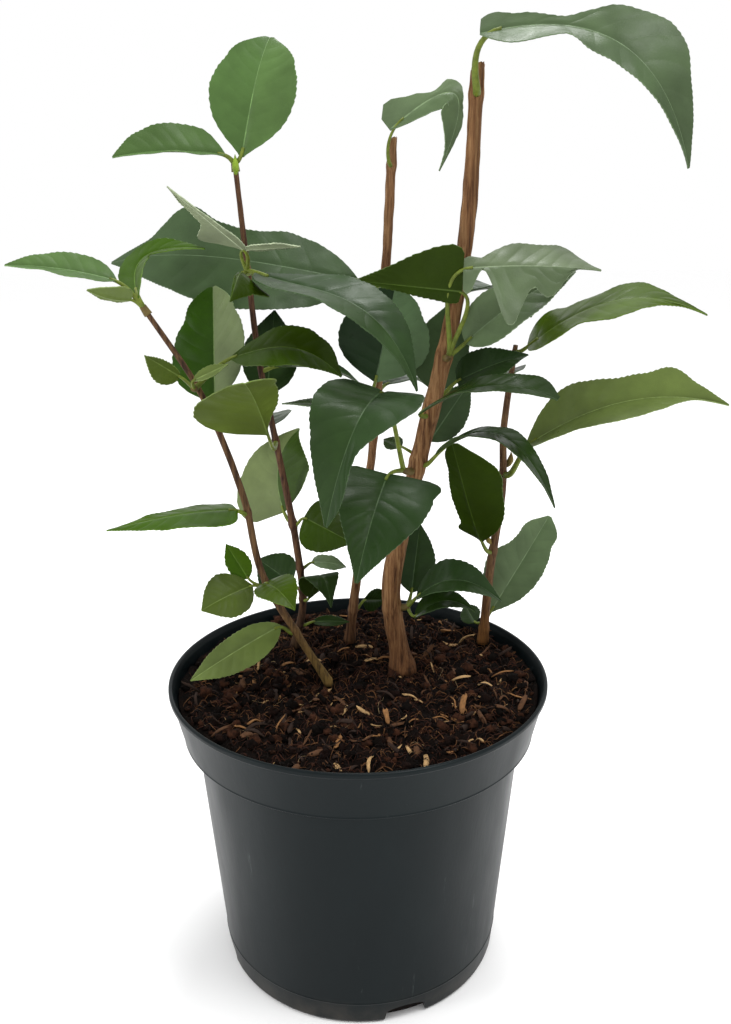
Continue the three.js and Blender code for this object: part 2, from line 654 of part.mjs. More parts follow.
// Block that cuts one drain opening in the foot, grown all round by a clearance.
function notchBlock(turn, grow) {
  const block = new THREE.BoxGeometry(
    NOTCH_DEPTH + 2 * grow,
    NOTCH_WIDTH + 2 * grow,
    2 * (NOTCH_HEIGHT + grow),
  );
  block.translate(BODY_BOTTOM_RADIUS, 0, 0);
  block.rotateZ(radians(turn));
  return toSolid(block);
}

// Soil: its wall follows the pot's inside, clear of the drain openings, and its top is lumpy but level round
// the foot of each cane.
function soilGeometry() {
  const inside = (radius) => radius - WALL - CLEAR;
  const topRadius = inside(THREE.MathUtils.mapLinear(
    SOIL_TOP,
    COLLAR_BOTTOM,
    POT_HEIGHT - LIP_HEIGHT,
    COLLAR_BOTTOM_RADIUS,
    RIM_RADIUS - LIP_PROUD,
  ));
  const wall = [
    [inside(BODY_BOTTOM_RADIUS), FLOOR + CLEAR],
    [inside(BODY_TOP_RADIUS), COLLAR_BOTTOM + WALL + CLEAR],
    [inside(COLLAR_BOTTOM_RADIUS), COLLAR_BOTTOM + WALL + CLEAR],
  ];
  const noise = seededNoise(SOIL_SEED);
  const ring = (radius, height) => Array.from({ length: SOIL_SIDES }, (_, i) => {
    const angle = (2 * Math.PI * i) / SOIL_SIDES;
    return new THREE.Vector3(radius * Math.cos(angle), radius * Math.sin(angle), height);
  });
  const rings = wall.map(([radius, height]) => ring(radius, height));
  for (let r = SOIL_RINGS; r >= 1; r -= 1) {
    const points = ring((topRadius * r) / SOIL_RINGS, SOIL_TOP);
    for (const point of points) point.z -= soilDip(point, topRadius) * SOIL_LUMP * noise();
    rings.push(points);
  }
  let soil = toSolid(skin(rings));
  for (const turn of NOTCH_TURNS) soil = soil.subtract(notchBlock(turn, CLEAR));
  return toGeometry(soil);
}

// Share of the full lumpiness at a point of the soil: none at the pot's wall or the foot of a cane.
function soilDip(point, topRadius) {
  let share = Math.min(1, (topRadius - Math.hypot(point.x, point.y)) / SOIL_LEVEL_EDGE);
  for (const cane of Object.values(CANES)) {
    const [x, y] = cane.through[0];
    const distance = Math.hypot(point.x - x, point.y - y);
    share = Math.min(share, THREE.MathUtils.clamp((distance - SOIL_LEVEL_FOOT) / SOIL_LEVEL_EDGE, 0, 1));
  }
  return share;
}

function named(name, geometry, color, roughness) {
  const material = new THREE.MeshStandardMaterial({ color, roughness, metalness: 0 });
  const mesh = new THREE.Mesh(geometry, material);
  mesh.name = name;
  return mesh;
}

const shrub = new THREE.Group();
shrub.add(named('pot', potGeometry(), 0x4b5654, 0.45));
shrub.add(named('soil', soilGeometry(), 0x2b221d, 0.95));
for (const [name, cane] of Object.entries(CANES)) {
  shrub.add(named(name, caneGeometry(cane), cane.color, 0.75));
}
const sprays = { ...SPRAYS };
for (const [name, row] of Object.entries(BEHIND)) sprays[name] = behindSpray(row);
Object.entries(sprays).forEach(([name, spray], i) => {
  shrub.add(named(`leaves_${name}`, sprayGeometry(spray), LEAF_COLORS[i % LEAF_COLORS.length], 0.4));
});

export default shrub;
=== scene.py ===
"""A camellia shrub in its nursery pot: fine leaves, barked canes, peat soil and moulded pot round the frame.

The tables and the growing rule are those of the part's own source, in millimetres, with the origin at the
centre of the pot's flat underside, +X to the right and +Y to the back. Meshes are scaled to metres.
"""
import math
import random
from typing import NamedTuple

import bpy
import numpy as np
from mathutils import Matrix, Vector, noise

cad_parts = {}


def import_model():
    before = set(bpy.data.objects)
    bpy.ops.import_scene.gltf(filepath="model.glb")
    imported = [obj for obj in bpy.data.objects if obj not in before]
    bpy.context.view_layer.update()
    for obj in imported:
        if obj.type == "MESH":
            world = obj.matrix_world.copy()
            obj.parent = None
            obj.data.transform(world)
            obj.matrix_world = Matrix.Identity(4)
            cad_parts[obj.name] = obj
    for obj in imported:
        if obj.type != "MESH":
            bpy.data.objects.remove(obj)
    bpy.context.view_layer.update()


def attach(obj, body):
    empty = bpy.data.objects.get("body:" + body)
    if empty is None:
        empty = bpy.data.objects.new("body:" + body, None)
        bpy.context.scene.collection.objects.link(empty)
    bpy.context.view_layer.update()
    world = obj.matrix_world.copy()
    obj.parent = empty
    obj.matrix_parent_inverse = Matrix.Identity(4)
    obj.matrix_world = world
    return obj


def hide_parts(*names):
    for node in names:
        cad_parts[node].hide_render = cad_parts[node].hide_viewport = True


MM = 0.001
FULL_TURN = 2 * math.pi
CLEAR = 0.4
GROUND = 148.0

# Pot
POT_HEIGHT = 153.5
POT_SIDES = 192
RIM_RADIUS = 95.0
RIM_ROUND = 0.8
RIM_EDGE = 0.5
RIM_DIP = 0.2
LIP_HEIGHT = 3.0
LIP_PROUD = 1.2
LIP_ROUND = 0.6
COLLAR_BOTTOM_RADIUS = 88.5
COLLAR_BOTTOM = 127.0
COLLAR_BEAD = [(0.35, 0.5), (0.15, 1.2)]
BODY_TOP_RADIUS = 82.5
BODY_BOTTOM_RADIUS = 72.0
FOOT_ROUND = 1.5
FOOT_INSET = 0.8
WALL = 1.8
FLOOR = 2.2
CORNER_ROUND = 0.5
SHARP_ANGLE = 38
MOULD_LINE = 12.3
MOULD_LINE_PROUD = 0.22
MOULD_LINE_HALF = 0.5
MOULD_LINE_FLAT = 0.12
NOTCH_WIDTH = 20.0
NOTCH_HEIGHT = 8.0
NOTCH_DEPTH = 14.0
NOTCH_TURNS = (-72, 18, 108, 198)
NOTCH_SHOULDER = 3.0
NOTCH_TAPER = 0.98
NOTCH_SPLAY = 1.5
NOTCH_BELOW = 2.0
NOTCH_STEPS = 8

# Soil: its crust has round layers [wavelength, height, offset] and cracked ones with a level as well.
SOIL_TOP = 147.6
SOIL_RADIUS = 90.6
SOIL_SINK = 1.6
SOIL_EDGE_DEPTH = 3.4
SOIL_CRUST_INSET = 0.3
SOIL_SIDES = 220
SOIL_RINGS = 76
SOIL_ROUND = [(24, 2.2, (0, 0, 0)), (1.5, 0.5, (5, 5, 5))]
SOIL_CRACKED = [(9, 4.2, 0.4, (7, 3, 1)), (3.6, 2.0, 0.3, (2, 9, 5))]

# Litter on the soil: how many pieces of each sort, their least and greatest sizes, how far they keep from the
# pot's wall, and the sRGB colours of their materials. The sizes of a strand are its length, radius and rise.
LITTER_SEED = 11
CANE_CLEAR = 7
CLODS = 1500
CLOD_RADIUS = (0.5, 3.7)
CLOD_SMALLNESS = 3.2
CLOD_FLATNESS = (0.5, 0.9)
CLOD_MARGIN = 3.0
CLOD_RINGS = 6
CLOD_SIDES = 9
FIBRES = 3200
FIBRE_MIX = (0, 0, 1, 1, 2)
FIBRE_SIZES = ((3, 9), (0.12, 0.34), (0.4, 2.6))
FOOT_FIBRES = 70
FOOT_FIBRE_SIZES = ((4, 11), (0.1, 0.2), (0.8, 3.4))
FOOT_FIBRE_AWAY = (2, 15)
PALE_ROOTS = 24
PALE_ROOT_SIZES = ((8, 18), (0.1, 0.16), (0.4, 1.6))
STRAND_MARGIN = 4.0
STRAND_BEND = 0.28
STRAND_WANDER = 0.35
STRAND_STEPS = 8
STRAND_SIDES = 3
CHIPS = 480
CHIP_MIX = (0, 2, 1, 3, 3, 2, 3)
CHIP_LENGTH = (2.5, 13.5)
CHIP_SMALLNESS = 2.2
CHIP_WIDEST = 3.4
CHIP_HALF = 0.18
CHIP_RISE = (-10, 40)
CHIP_MARGIN = 6.0
CHIP_STEPS = 8
CHIP_COLUMNS = 4
CHIP_GRAIN = 500
CRUMB_COLORS = {
    "crumb_black": ((5, 4, 3), (20, 13, 10)),
    "crumb_dark": ((10, 6, 5), (34, 20, 15)),
    "crumb_brown": ((30, 18, 12), (74, 45, 31)),
}
FIBRE_COLORS = {
    "fibre_dark": ((22, 13, 10), 0.9),
    "fibre_brown": ((58, 32, 21), 0.9),
    "fibre_tan": ((98, 66, 40), 0.85),
    "root_pale": ((150, 128, 94), 0.75),
}
CHIP_COLORS = {
    "husk_buff": ((166, 134, 92), 0.75),
    "husk_tan": ((130, 92, 56), 0.8),
    "husk_brown": ((78, 52, 33), 0.8),
    "husk_dark": ((42, 29, 22), 0.85),
}

# Fine growth of a blade, in millimetres unless a share.
BLADE_ALONG = [0, 0.03, 0.08, 0.16, 0.28, 0.42, 0.6, 0.76, 0.88, 0.95, 1]
BLADE_WIDE = [0.05, 0.28, 0.52, 0.77, 0.94, 1, 0.9, 0.64, 0.34, 0.15, 0.03]
BLADE_SMOOTHINGS = 60
BLADE_LEAST_REACH = 0.3
BLADE_HALF = 0.26
SMALL_LEAF = 36.0
LARGE_LEAF = 90.0
FULL_RELIEF_LENGTH = 60.0
FULL_WAVE_WIDTH = 30.0
TOOTH_LENGTH = 2.3
TOOTH_SMALL = 0.75
TOOTH_DEPTH = 0.42
TOOTH_RISE = 1.5
TOOTH_LEVEL = 0.6
LEAST_TEETH = 8
ROWS_PER_TOOTH = 3
EDGE_WIDTH = 0.2
EDGE_MOST = 0.15
EDGE_THIN = 0.5
RIB_WIDTH = 0.36
RIB_MOST = 0.3
RIB_TAPER = 0.75
RIB_GROOVE = 0.45
RIB_RIDGE = 0.5
RIB_SPREAD = 2.2
RIB_SOFT = 0.3
RIB_FADE = 0.6
VEIN_PAIRS = 8
VEIN_FIRST = 0.55
VEIN_AFTER = 0.7
VEIN_WIDTH = 0.34
VEIN_SLANT = 0.62
VEIN_SLANT_MOST = 0.27
VEIN_BEND = 1.2
VEIN_CLEAR = 1.6
PILLOW_HEIGHT = 0.26
PILLOW_BELOW = 0.7
PILLOW_FADE = 1.6
PILLOW_ROUND = 0.7
MARGIN_WAVE = 0.7
MARGIN_WAVES = (7.5, 17.0)
BUCKLE = 0.3
BUCKLE_LENGTHS = (2.6, 2.1)
COLUMNS = [0, 0.03, 0.1, 0.22, 0.36, 0.5, 0.64, 0.76, 0.87, 0.97, 1.0]

# Stalks, spurs and buds: a radius fades from foot to tip by the shares given.
SPRAY_CLEAR = 0.6
STALK_RADIUS = 1.15
STALK_LARGE_RADIUS = 1.6
STALK_SMALL_RADIUS = 0.9
STALK_FADE = (1.12, 0.62)
STALK_INTO_BLADE = 0.07
STALK_SEAT = 0.9
STALK_STEPS = 16
SPUR_RADIUS = 1.7
SPUR_FADE = (1.15, 0.9)
SPUR_INTO_STALK = 1.2
SPUR_STEPS = 8
TWIG_SIDES = 12
BUD_SEAT = 0.8
BUD_SIDES = 18
BUD_STEPS = 20

# Bark: its ridges are noise, drawn out along the cane, with a finer layer over them.
BARK_INSET = {"cane": 0.5, "shoot": 0.25}
BARK_RIDGE = {"cane": 0.5, "shoot": 0.14}
BARK_SIDES = {"cane": 40, "shoot": 20}
BARK_STEP = 1.1
BARK_ROUND = 2.6
BARK_LONG = 22.0
BARK_FINER = 2.7
BARK_FINE_SHARE = 0.7
BARK_INTO_SOIL = 1.4
FOOT_BARK_TOP = 192.0
FLARE_HEIGHT = 16.0
SCAR_SWELL = 0.42
SCAR_LENGTH = 0.008
CUT_RINGS = 9
CUT_SLANT = 1.6
CUT_TURN = 0.6
CUT_RAGGED = 1.4
CUT_GRAIN = 2.2
CUT_COLOR = (74, 52, 36)

# Studio: each soft lamp's place, target, size and power in watts.
LAMPS = {
    "key": ((0.5, -0.4, 1.5), (0, 0, 0.25), (0.4, 0.4), 8),
    "side": ((-1.1, -0.5, 0.6), (0, 0, 0.15), (0.3, 1.1), 5.5),
    "top": ((0.1, 0.5, 1.5), (0, 0, 0.3), (0.5, 0.35), 10),
}
FLOOR_HALF = 6.0
FLOOR_DROP = 0.0004
FLOOR_WHITE = 0.995

# Camera: its place in metres, its angles in degrees and its focal length in pixels of the picture's height.
CAMERA_PLACE = (0.0043, -0.43728, 0.37537)
CAMERA_PITCH = 17.5
CAMERA_ROLL = -0.4
CAMERA_FOCAL = 950
PICTURE_HEIGHT = 1024
SENSOR = 36


class Cane(NamedTuple):
    """Stations [right, back, up], radius at foot and tip, flare of the foot, and kind of bark."""

    through: list
    radius: list
    flare: float
    bark: str


class Leaf(NamedTuple):
    """One leaf: its foot is how far its blade starts from the cane, way its [turn, rise], size its [length,
    width], roll its tilt, bow its arch near foot and point, fold how far its halves lift, sway its sideways
    bend near foot and point, and tilt how far it turns about its midrib there. Skew is below 1 where a half
    is widest near the foot, halves are its two widths, and a lobe is [side, middle, span, swell]."""

    tint: str
    foot: list
    way: list
    size: list
    roll: float
    bow: list
    fold: list
    sway: list = (0, 0)
    tilt: list = (0, 0)
    skew: list = (1, 1)
    halves: list = (1, 1)
    lobes: list = ()


class Spray(NamedTuple):
    """Leaves that set off together from a cane at a height or its tip, or on a spur [turn, rise, length]."""

    cane: str
    at: float | str
    leaves: list
    spur: list = None


CANES = {
    "left_stem": Cane(
        [[-15, -3, 148], [-30, -4, 175], [-46, -6, 208], [-53, -8, 247], [-65, -9, 285], [-73, -11, 304],
         [-91, -13, 334]],
        [2.3, 1.4], 1.3, "shoot"),
    "tall_stem": Cane(
        [[-35, 41, 148], [-30, 38, 173], [-32, 33, 209], [-39, 25, 260], [-46, 18, 308], [-49, 13, 349],
         [-52, 8, 394]],
        [2.4, 1.4], 1.3, "shoot"),
    "back_cane": Cane(
        [[-5, 47, 148], [2, 42, 209], [8, 38, 259], [14, 34, 335], [18, 30, 409]],
        [2.9, 2.5], 1.3, "cane"),
    "main_cane": Cane(
        [[23, 12, 148], [17, 10, 193], [21, 9, 220], [30, 8, 261], [45, 8, 328], [51, 9, 370],
         [54, 10, 437]],
        [5.6, 3.5], 1.45, "cane"),
    "right_stem": Cane(
        [[69, 45, 148], [71, 40, 192], [75, 34, 238], [74, 30, 271], [76, 24, 302], [77, 22, 314]],
        [2.8, 1.4], 1.3, "shoot"),
}

# Bark of each cane, as the sRGB of its dark, middle and light fibres and of its foot.
BARKS = {
    "left_stem": ((44, 30, 22), (78, 56, 38), (112, 84, 56), (136, 110, 58)),
    "tall_stem": ((40, 26, 22), (72, 48, 36), (100, 72, 50), (70, 52, 34)),
    "back_cane": ((76, 49, 30), (118, 84, 55), (148, 114, 80), (88, 58, 38)),
    "main_cane": ((64, 40, 23), (114, 79, 49), (149, 114, 77), (106, 68, 42)),
    "right_stem": ((52, 34, 26), (88, 62, 44), (120, 92, 62), (132, 88, 44)),
}

SPRAYS = {
    "left_top": Spray("left_stem", "tip", [
        Leaf("fresh", [-11, -4, 14], [-170, 9], [46, 20], -27, [0.06, 0.06], [18, 18]),
        Leaf("bright", [-3, -2, 7], [28, 32], [37, 19], 11, [0.1, 0.1], [10, 10], sway=[-1, -0.85],
             halves=[1, 0.8]),
        Leaf("lime", [-6, -3, 6], [-142, 15], [20, 14], 32, [-0.1, -0.1], [0, 0], halves=[1.5, 0.4]),
    ], spur=[190, 60, 3]),
    "left_knot": Spray("left_stem", 301, [
        Leaf("moss", [-6, -5, 5], [-130, 32], [22, 15], -103, [0, 0], [0, 0], halves=[1, 0.4]),
        Leaf("lime", [0, -8, 4], [12, 23], [17, 7], 37, [0, 0], [10, 10]),
        Leaf("olive", [15, 4, 12], [-11, -8], [52, 26], 36, [0.2, 0.45], [5, 5], skew=[1.3, 1.2],
             lobes=[[-1, 0.88, 0.16, 3]]),
    ], spur=[-100, 20, 3]),
    "left_upright": Spray("left_stem", 289, [
        Leaf("split", [1, 9, 3], [95, 59], [58, 43], -30, [0, 0], [14, 14],
             lobes=[[-1, 0.9, 0.2, 4], [1, 0.9, 0.2, 3]]),
    ]),
    "left_long": Spray("left_stem", 240, [
        Leaf("bright", [-4, -5, 3], [-164, -4], [60, 21], -5, [0.06, 0.03], [-6, -6], skew=[0.6, 0.5],
             halves=[1.5, 1.2]),
    ]),
    "left_low": Spray("left_stem", 203, [
        Leaf("bright", [-8, -6, 5], [148, 50], [20, 12], -52, [0, 0], [6, 6]),
        Leaf("moss", [-6, -7, 2], [-145, -13], [28, 24], -40, [0.1, 0.1], [4, 4], skew=[1.2, 1.2]),
        Leaf("gold", [1, -11, 5], [-60, -5], [31, 20], 18, [0.1, 0.2], [8, 8]),
    ], spur=[-100, 20, 3]),
    "left_foot": Spray("left_stem", 177, [
        Leaf("lime", [-7, -2, 4], [-161, -26], [51, 22], -46, [0.06, 0.06], [6, 6], halves=[1, 0.75]),
    ]),
    "tall_top": Spray("tall_stem", "tip", [
        Leaf("fresh", [3, -1, 5], [56, 66], [55, 40], 25, [0.06, 0.16], [4, 4], skew=[1.3, 1.3],
             lobes=[[-1, 0.9, 0.22, 3], [1, 0.9, 0.22, 3]]),
        Leaf("fresh", [-4, -2, 6], [-164, -2], [48, 27], -36, [0.05, 0.08], [30, 30], skew=[1.1, 1.1]),
    ], spur=[120, 70, 3]),
    "tall_knot": Spray("tall_stem", 350, [
        Leaf("pale", [1, -9, 9], [-131, 33], [50, 9], 6, [0, 0], [10, -35], lobes=[[1, 0.26, 0.28, 13]]),
        Leaf("pale", [-1, -9, 10], [-22, 3], [29, 6], -32, [0, 0], [10, 10]),
        Leaf("olive", [-1, -12, 0], [-99, -27], [24, 24], -19, [0.3, 0.3], [-25, -25], halves=[1, 0.15],
             lobes=[[-1, 0.35, 0.35, 5]]),
        Leaf("deep", [5, -10, 0], [-35, -28], [97, 32], 12, [0.08, 0.36], [8, 8], skew=[1.3, 0.9]),
    ], spur=[-90, 15, 4]),
    "tall_upright": Spray("tall_stem", 286, [
        Leaf("deep", [-1, 7, 4], [74, 70], [42, 28], 16, [0, 0], [6, 6]),
    ]),
    "tall_cupped": Spray("tall_stem", 267, [
        Leaf("moss", [0, -37, 12], [-98, 40], [46, 62], 12, [0.1, 0.1], [8, 8], skew=[2, 0.75],
             halves=[0.36, 1], lobes=[[-1, 0.9, 0.2, 5]]),
    ]),
    "tall_round": Spray("tall_stem", 222, [
        Leaf("round", [-5, 6, 4], [70, 60], [46, 46], -20, [0.1, 0.2], [6, 6], sway=[-0.15, -0.15],
             skew=[0.6, 1], halves=[1.25, 1.1]),
    ]),
    "tall_inner": Spray("tall_stem", 221, [
        Leaf("olive", [6, -3, 5], [-27, -19], [30, 28], 70, [0, 0], [6, 6], skew=[0.8, 0.8]),
    ]),
    "tall_low_left": Spray("tall_stem", 182, [
        Leaf("deep", [-6, 4, 3], [149, 23], [24, 24], -44, [0, 0], [4, 4]),
    ]),
    "tall_low_right": Spray("tall_stem", 195, [
        Leaf("grey", [6, 2, 3], [18, -15], [20, 12], 24, [0.1, 0.1], [4, 4]),
    ]),
    "tall_low_front": Spray("tall_stem", 177, [
        Leaf("shade", [4, -6, 3], [-56, 5], [22, 22], -5, [0.8, 1], [0, 0]),
    ]),
    "tall_foot": Spray("tall_stem", 161, [
        Leaf("shade", [7, -1, 2], [0, -1], [20, 7], 35, [0.05, 0.05], [6, 6]),
    ]),
    "back_top": Spray("back_cane", 396, [
        Leaf("grey", [-1, -6, 15], [-4, -38], [29, 17], 0, [1.4, 1.3], [0, 0], tilt=[-55, -50],
             skew=[0.65, 0.9], halves=[1, 0.9],
             lobes=[[-1, 0.03, 0.13, 8], [-1, 0.27, 0.14, -5], [-1, 0.6, 0.2, -4], [1, 0.74, 0.2, 5]]),
    ]),
    "back_broad": Spray("back_cane", 340, [
        Leaf("dusk", [-13, 17, 3], [175, 4], [126, 50], -58, [0.08, 0.2], [0, 0], skew=[1.05, 1],
             halves=[1, 0.82], lobes=[[1, 0.7, 0.16, 12], [1, 0.43, 0.16, -4], [-1, 0.5, 0.3, 2]]),
    ]),
    "back_middle": Spray("back_cane", 288, [
        Leaf("dim", [-1, -9, 8], [-52, 72], [50, 45], 138, [0, 0], [8, 8], skew=[1.15, 1.15],
             lobes=[[-1, 0.9, 0.16, 3], [1, 0.9, 0.16, 3]]),
        Leaf("grey", [-11, -4, -3], [-155, 4], [39, 8], -22, [0, 0], [0, 0]),
    ], spur=[-130, 15, 3]),
    "back_foot": Spray("back_cane", 167, [
        Leaf("shade", [6, 4, 4], [56, -19], [24, 14], 99, [0, 0], [4, 4]),
    ]),
    "main_top": Spray("main_cane", 424, [
        Leaf("silver_sheen", [0, -8, 22.5], [-22, -32], [104, 38], 23, [0.26, 0.36], [8, 8], sway=[-0.12, 0],
             tilt=[-25, -20], skew=[1.3, 0.8], halves=[0.95, 0.65],
             lobes=[[-1, 0.02, 0.1, 8], [-1, 0.28, 0.2, -10], [-1, 0.6, 0.13, 5], [-1, 0.7, 0.1, 3],
                    [1, 0.12, 0.12, 3], [1, 0.33, 0.12, -5]]),
    ]),
    "main_crown": Spray("main_cane", 311, [
        Leaf("olive", [6, -17, 31], [180, 6], [47, 40], 78, [0, 0], [0, 0], skew=[0.45, 0.4],
             halves=[1, 0.3]),
        Leaf("soft", [6, -20, 41], [-5, -1], [59, 34], 45, [0.05, 0.05], [0, -30], skew=[1.5, 1],
             halves=[1, 0.1],
             lobes=[[-1, 0.03, 0.12, 5], [-1, 0.78, 0.25, 7], [1, 0.03, 0.12, 14], [1, 0.34, 0.21, 27],
                    [1, 0.62, 0.22, 12]]),
        Leaf("grey", [9, -7, 7], [0, 33], [58, 30], 38, [0.1, 0.1], [6, 6], skew=[0.8, 0.9]),
    ], spur=[-80, 55, 6]),
    "main_shade": Spray("main_cane", 283, [
        Leaf("shade", [-6, -11, 3], [-33, 11], [69, 21], 12, [0.15, 0.22], [8, 8], skew=[1.5, 1.5],
             lobes=[[-1, 0.88, 0.2, 6]]),
    ]),
    "main_behind": Spray("main_cane", 289, [
        Leaf("dusk", [2, 15, 3], [62, 71], [42, 29], 31, [0, 0], [6, 6]),
        Leaf("deep", [12, 8, 9], [-14, 22], [36, 20], 58, [0.08, 0.12], [14, 14], skew=[0.75, 0.75]),
    ], spur=[60, 20, 4]),
    "main_arch": Spray("main_cane", 260, [
        Leaf("shade", [8, -8, 6], [-29, -17], [62, 24], 0, [0.55, 0.38], [6, 6], sway=[0.04, 0.04]),
    ]),
    "main_hidden": Spray("main_cane", 261, [
        Leaf("dusk", [6, 10, 7], [16, 54], [35, 20], 66, [0, 0], [6, 6]),
        Leaf("shade", [-8, 8, 5], [117, 0], [18, 9], -36, [0, 0], [4, 4]),
    ], spur=[92, 20, 4]),
    "main_front": Spray("main_cane", 256, [
        Leaf("deep", [-16, -36, 45], [-123, -47], [67, 46], -11, [0.55, 0.6], [10, 10], sway=[-0.15, -0.15],
             skew=[0.8, 0.8], halves=[1, 0.95], lobes=[[-1, 0.64, 0.32, -11]]),
        Leaf("deep", [-14, -18, 3], [-109, -39], [59, 50], -23, [0.1, 0.15], [6, 6], sway=[0.03, 0.03],
             tilt=[-10, -10], skew=[0.65, 0.5], halves=[1, 0.85], lobes=[[-1, 0.03, 0.2, 7]]),
    ], spur=[-125, 35, 8]),
    "main_low": Spray("main_cane", 183, [
        Leaf("deep", [12, -4, 7], [-17, 4], [43, 22], 30, [0.4, 0.55], [20, 20]),
        Leaf("deep", [10, 5, 6], [75, 57], [37, 22], 24, [0, 0], [6, 6]),
        Leaf("shade", [11, -6, -3], [-13, 11], [31, 16], 21, [0.3, 0.5], [15, 15]),
    ], spur=[-10, 20, 3]),
    "right_top": Spray("right_stem", 311, [
        Leaf("gold", [5, -6, 3], [-18, 12], [81, 32], 17, [0.2, 0.28], [0, 0], skew=[0.7, 0.7],
             lobes=[[-1, 0.06, 0.22, 16], [-1, 0.68, 0.25, 7], [1, 0.55, 0.22, 8], [1, 0.85, 0.15, -3]]),
    ]),
    "right_long": Spray("right_stem", 247, [
        Leaf("lime", [9, -13, 18], [-22, 16], [95, 36], 41, [0.18, 0.3], [30, 30], skew=[1.1, 0.9],
             lobes=[[-1, 0.55, 0.3, -6], [-1, 0.76, 0.12, 3], [1, 0.55, 0.25, 6], [1, 0.85, 0.15, -4]]),
    ]),
    "right_inner": Spray("right_stem", 203, [
        Leaf("olive", [-7, -7, 8], [-131, 64], [64, 38], 11, [-0.05, 0], [6, 6], skew=[1.15, 1.15],
             halves=[1, 0.5], lobes=[[-1, 0.8, 0.35, 6], [1, 0.9, 0.2, 3], [1, 0.12, 0.12, 6]]),
    ]),
    "right_foot": Spray("right_stem", 156, [
        Leaf("grey", [4, 7, 6], [22, 56], [63, 32], 57, [0.05, 0.1], [6, 6], skew=[1.3, 1.3],
             halves=[1.15, 0.85], lobes=[[-1, 0.66, 0.25, -6], [1, 0.9, 0.16, 4]]),
        Leaf("shade", [-4, 7, 0], [105, 13], [18, 12], -32, [0, 0], [4, 4]),
    ], spur=[85, 15, 3]),
}

# Single leaves behind the canes: [cane, height, turn, rise, length, width].
BEHIND = {
    "behind_tall_high": ["tall_stem", 303, 8, -14, 44, 24],
    "behind_tall_middle": ["tall_stem", 272, 104, -14, 62, 29],
    "behind_back_high": ["back_cane", 320, 92, -12, 76, 35],
    "behind_back_middle": ["back_cane", 290, 58, -15, 68, 31],
    "behind_back_low": ["back_cane", 204, 122, -12, 52, 25],
    "behind_main_high": ["main_cane", 338, 56, -14, 76, 35],
    "behind_main_low": ["main_cane", 236, 86, -16, 54, 25],
    "behind_right_high": ["right_stem", 296, 92, -18, 58, 27],
}
BEHIND_FOOT = 4.0
BEHIND_BOW = [0.1, 0.16]
BEHIND_FOLD = [12, 12]

# Buds: [cane, height, turn, rise, length, radius, kind].
BUDS = [
    ["tall_stem", 392, 275, 84, 8, 1.5, "bud_fresh"],
    ["right_stem", 251, 20, 72, 8, 1.6, "bud_brown"],
    ["right_stem", 208, 205, 66, 6, 1.3, "bud_brown"],
]

# Buds, stalks and spurs: sRGB colour and roughness of each kind.
TWIG_COLORS = {
    "bud_brown": ((112, 96, 48), 0.6),
    "bud_fresh": ((112, 136, 40), 0.45),
    "stalk_green": ((96, 108, 38), 0.45),
    "spur_brown": ((92, 78, 42), 0.6),
}

# Upper and lower colour of each tint of the left half and of the right half, as sRGB. Some tints hold a
# painted sheen, and some paint one half lit and the other half shaded.
TINTS = {
    "deep": (((36, 55, 26), (52, 68, 30)), ((39, 58, 27), (52, 68, 30))),
    "shade": (((30, 48, 14), (44, 60, 16)), ((30, 48, 14), (44, 60, 16))),
    # Painted light: this tint's left half is painted shaded and its right half painted lit.
    "dim": (((28, 46, 24), (46, 62, 34)), ((76, 98, 66), (64, 80, 48))),
    # Partly the leaves' own grey-green, partly a painted sheen of the white surround.
    "grey": (((88, 105, 74), (80, 96, 60)), ((84, 102, 70), (80, 96, 60))),
    # Partly the leaf's own grey-green, partly a painted sheen of the white surround.
    "silver_sheen": (((72, 88, 60), (74, 88, 54)), ((68, 85, 56), (70, 86, 52))),
    "dusk": (((58, 76, 48), (54, 70, 40)), ((62, 80, 52), (54, 70, 40))),
    # Partly the leaf's own grey-green, partly a painted sheen of the white surround.
    "soft": (((88, 101, 74), (84, 98, 66)), ((79, 93, 66), (84, 98, 66))),
    "fresh": (((71, 97, 51), (86, 106, 60)), ((75, 100, 54), (86, 106, 60))),
    "bright": (((50, 78, 0), (74, 98, 10)), ((54, 80, 0), (74, 98, 10))),
    "gold": (((54, 74, 4), (72, 90, 20)), ((62, 82, 14), (78, 96, 28))),
    "lime": (((92, 107, 54), (92, 108, 52)), ((92, 107, 56), (92, 108, 52))),
    "pale": (((135, 145, 117), (128, 138, 108)), ((135, 145, 117), (128, 138, 108))),
    "olive": (((38, 55, 3), (38, 54, 4)), ((43, 63, 4), (40, 58, 4))),
    "moss": (((72, 87, 33), (74, 88, 31)), ((72, 87, 34), (74, 88, 31))),
    # Painted light: this tint's left half is painted shaded and its right half painted lit, as on a folded
    # leaf.
    "split": (((38, 64, 10), (44, 66, 16)), ((101, 114, 77), (98, 112, 68))),
    # Painted light: this tint's left half is painted lit and its right half painted shaded.
    "round": (((102, 115, 72), (92, 106, 60)), ((52, 72, 26), (56, 72, 30))),
}


def srgb(color):
    """Linear colour with alpha from an sRGB triple of 0 to 255."""
    out = []
    for value in color:
        share = value / 255
        out.append(share / 12.92 if share <= 0.04045 else ((share + 0.055) / 1.055) ** 2.4)
    return (*out, 1.0)


def vec(*values):
    return np.array(values, dtype=float)


def unit(v):
    return v / np.linalg.norm(v)


def lerp(pair, t):
    return pair[0] + (pair[1] - pair[0]) * t


def on_circle(share, radius=1.0):
    """Point at a share of a full turn."""
    return radius * math.cos(FULL_TURN * share), radius * math.sin(FULL_TURN * share)


def heading(turn, rise):
    level = math.cos(math.radians(rise))
    return vec(level * math.cos(math.radians(turn)), level * math.sin(math.radians(turn)),
               math.sin(math.radians(rise)))


class Curve:
    """What the curves share: a direction from two near places."""

    def tangent(self, t, step=1e-4):
        return unit(self.at(min(t + step, 1)) - self.at(max(t - step, 0)))


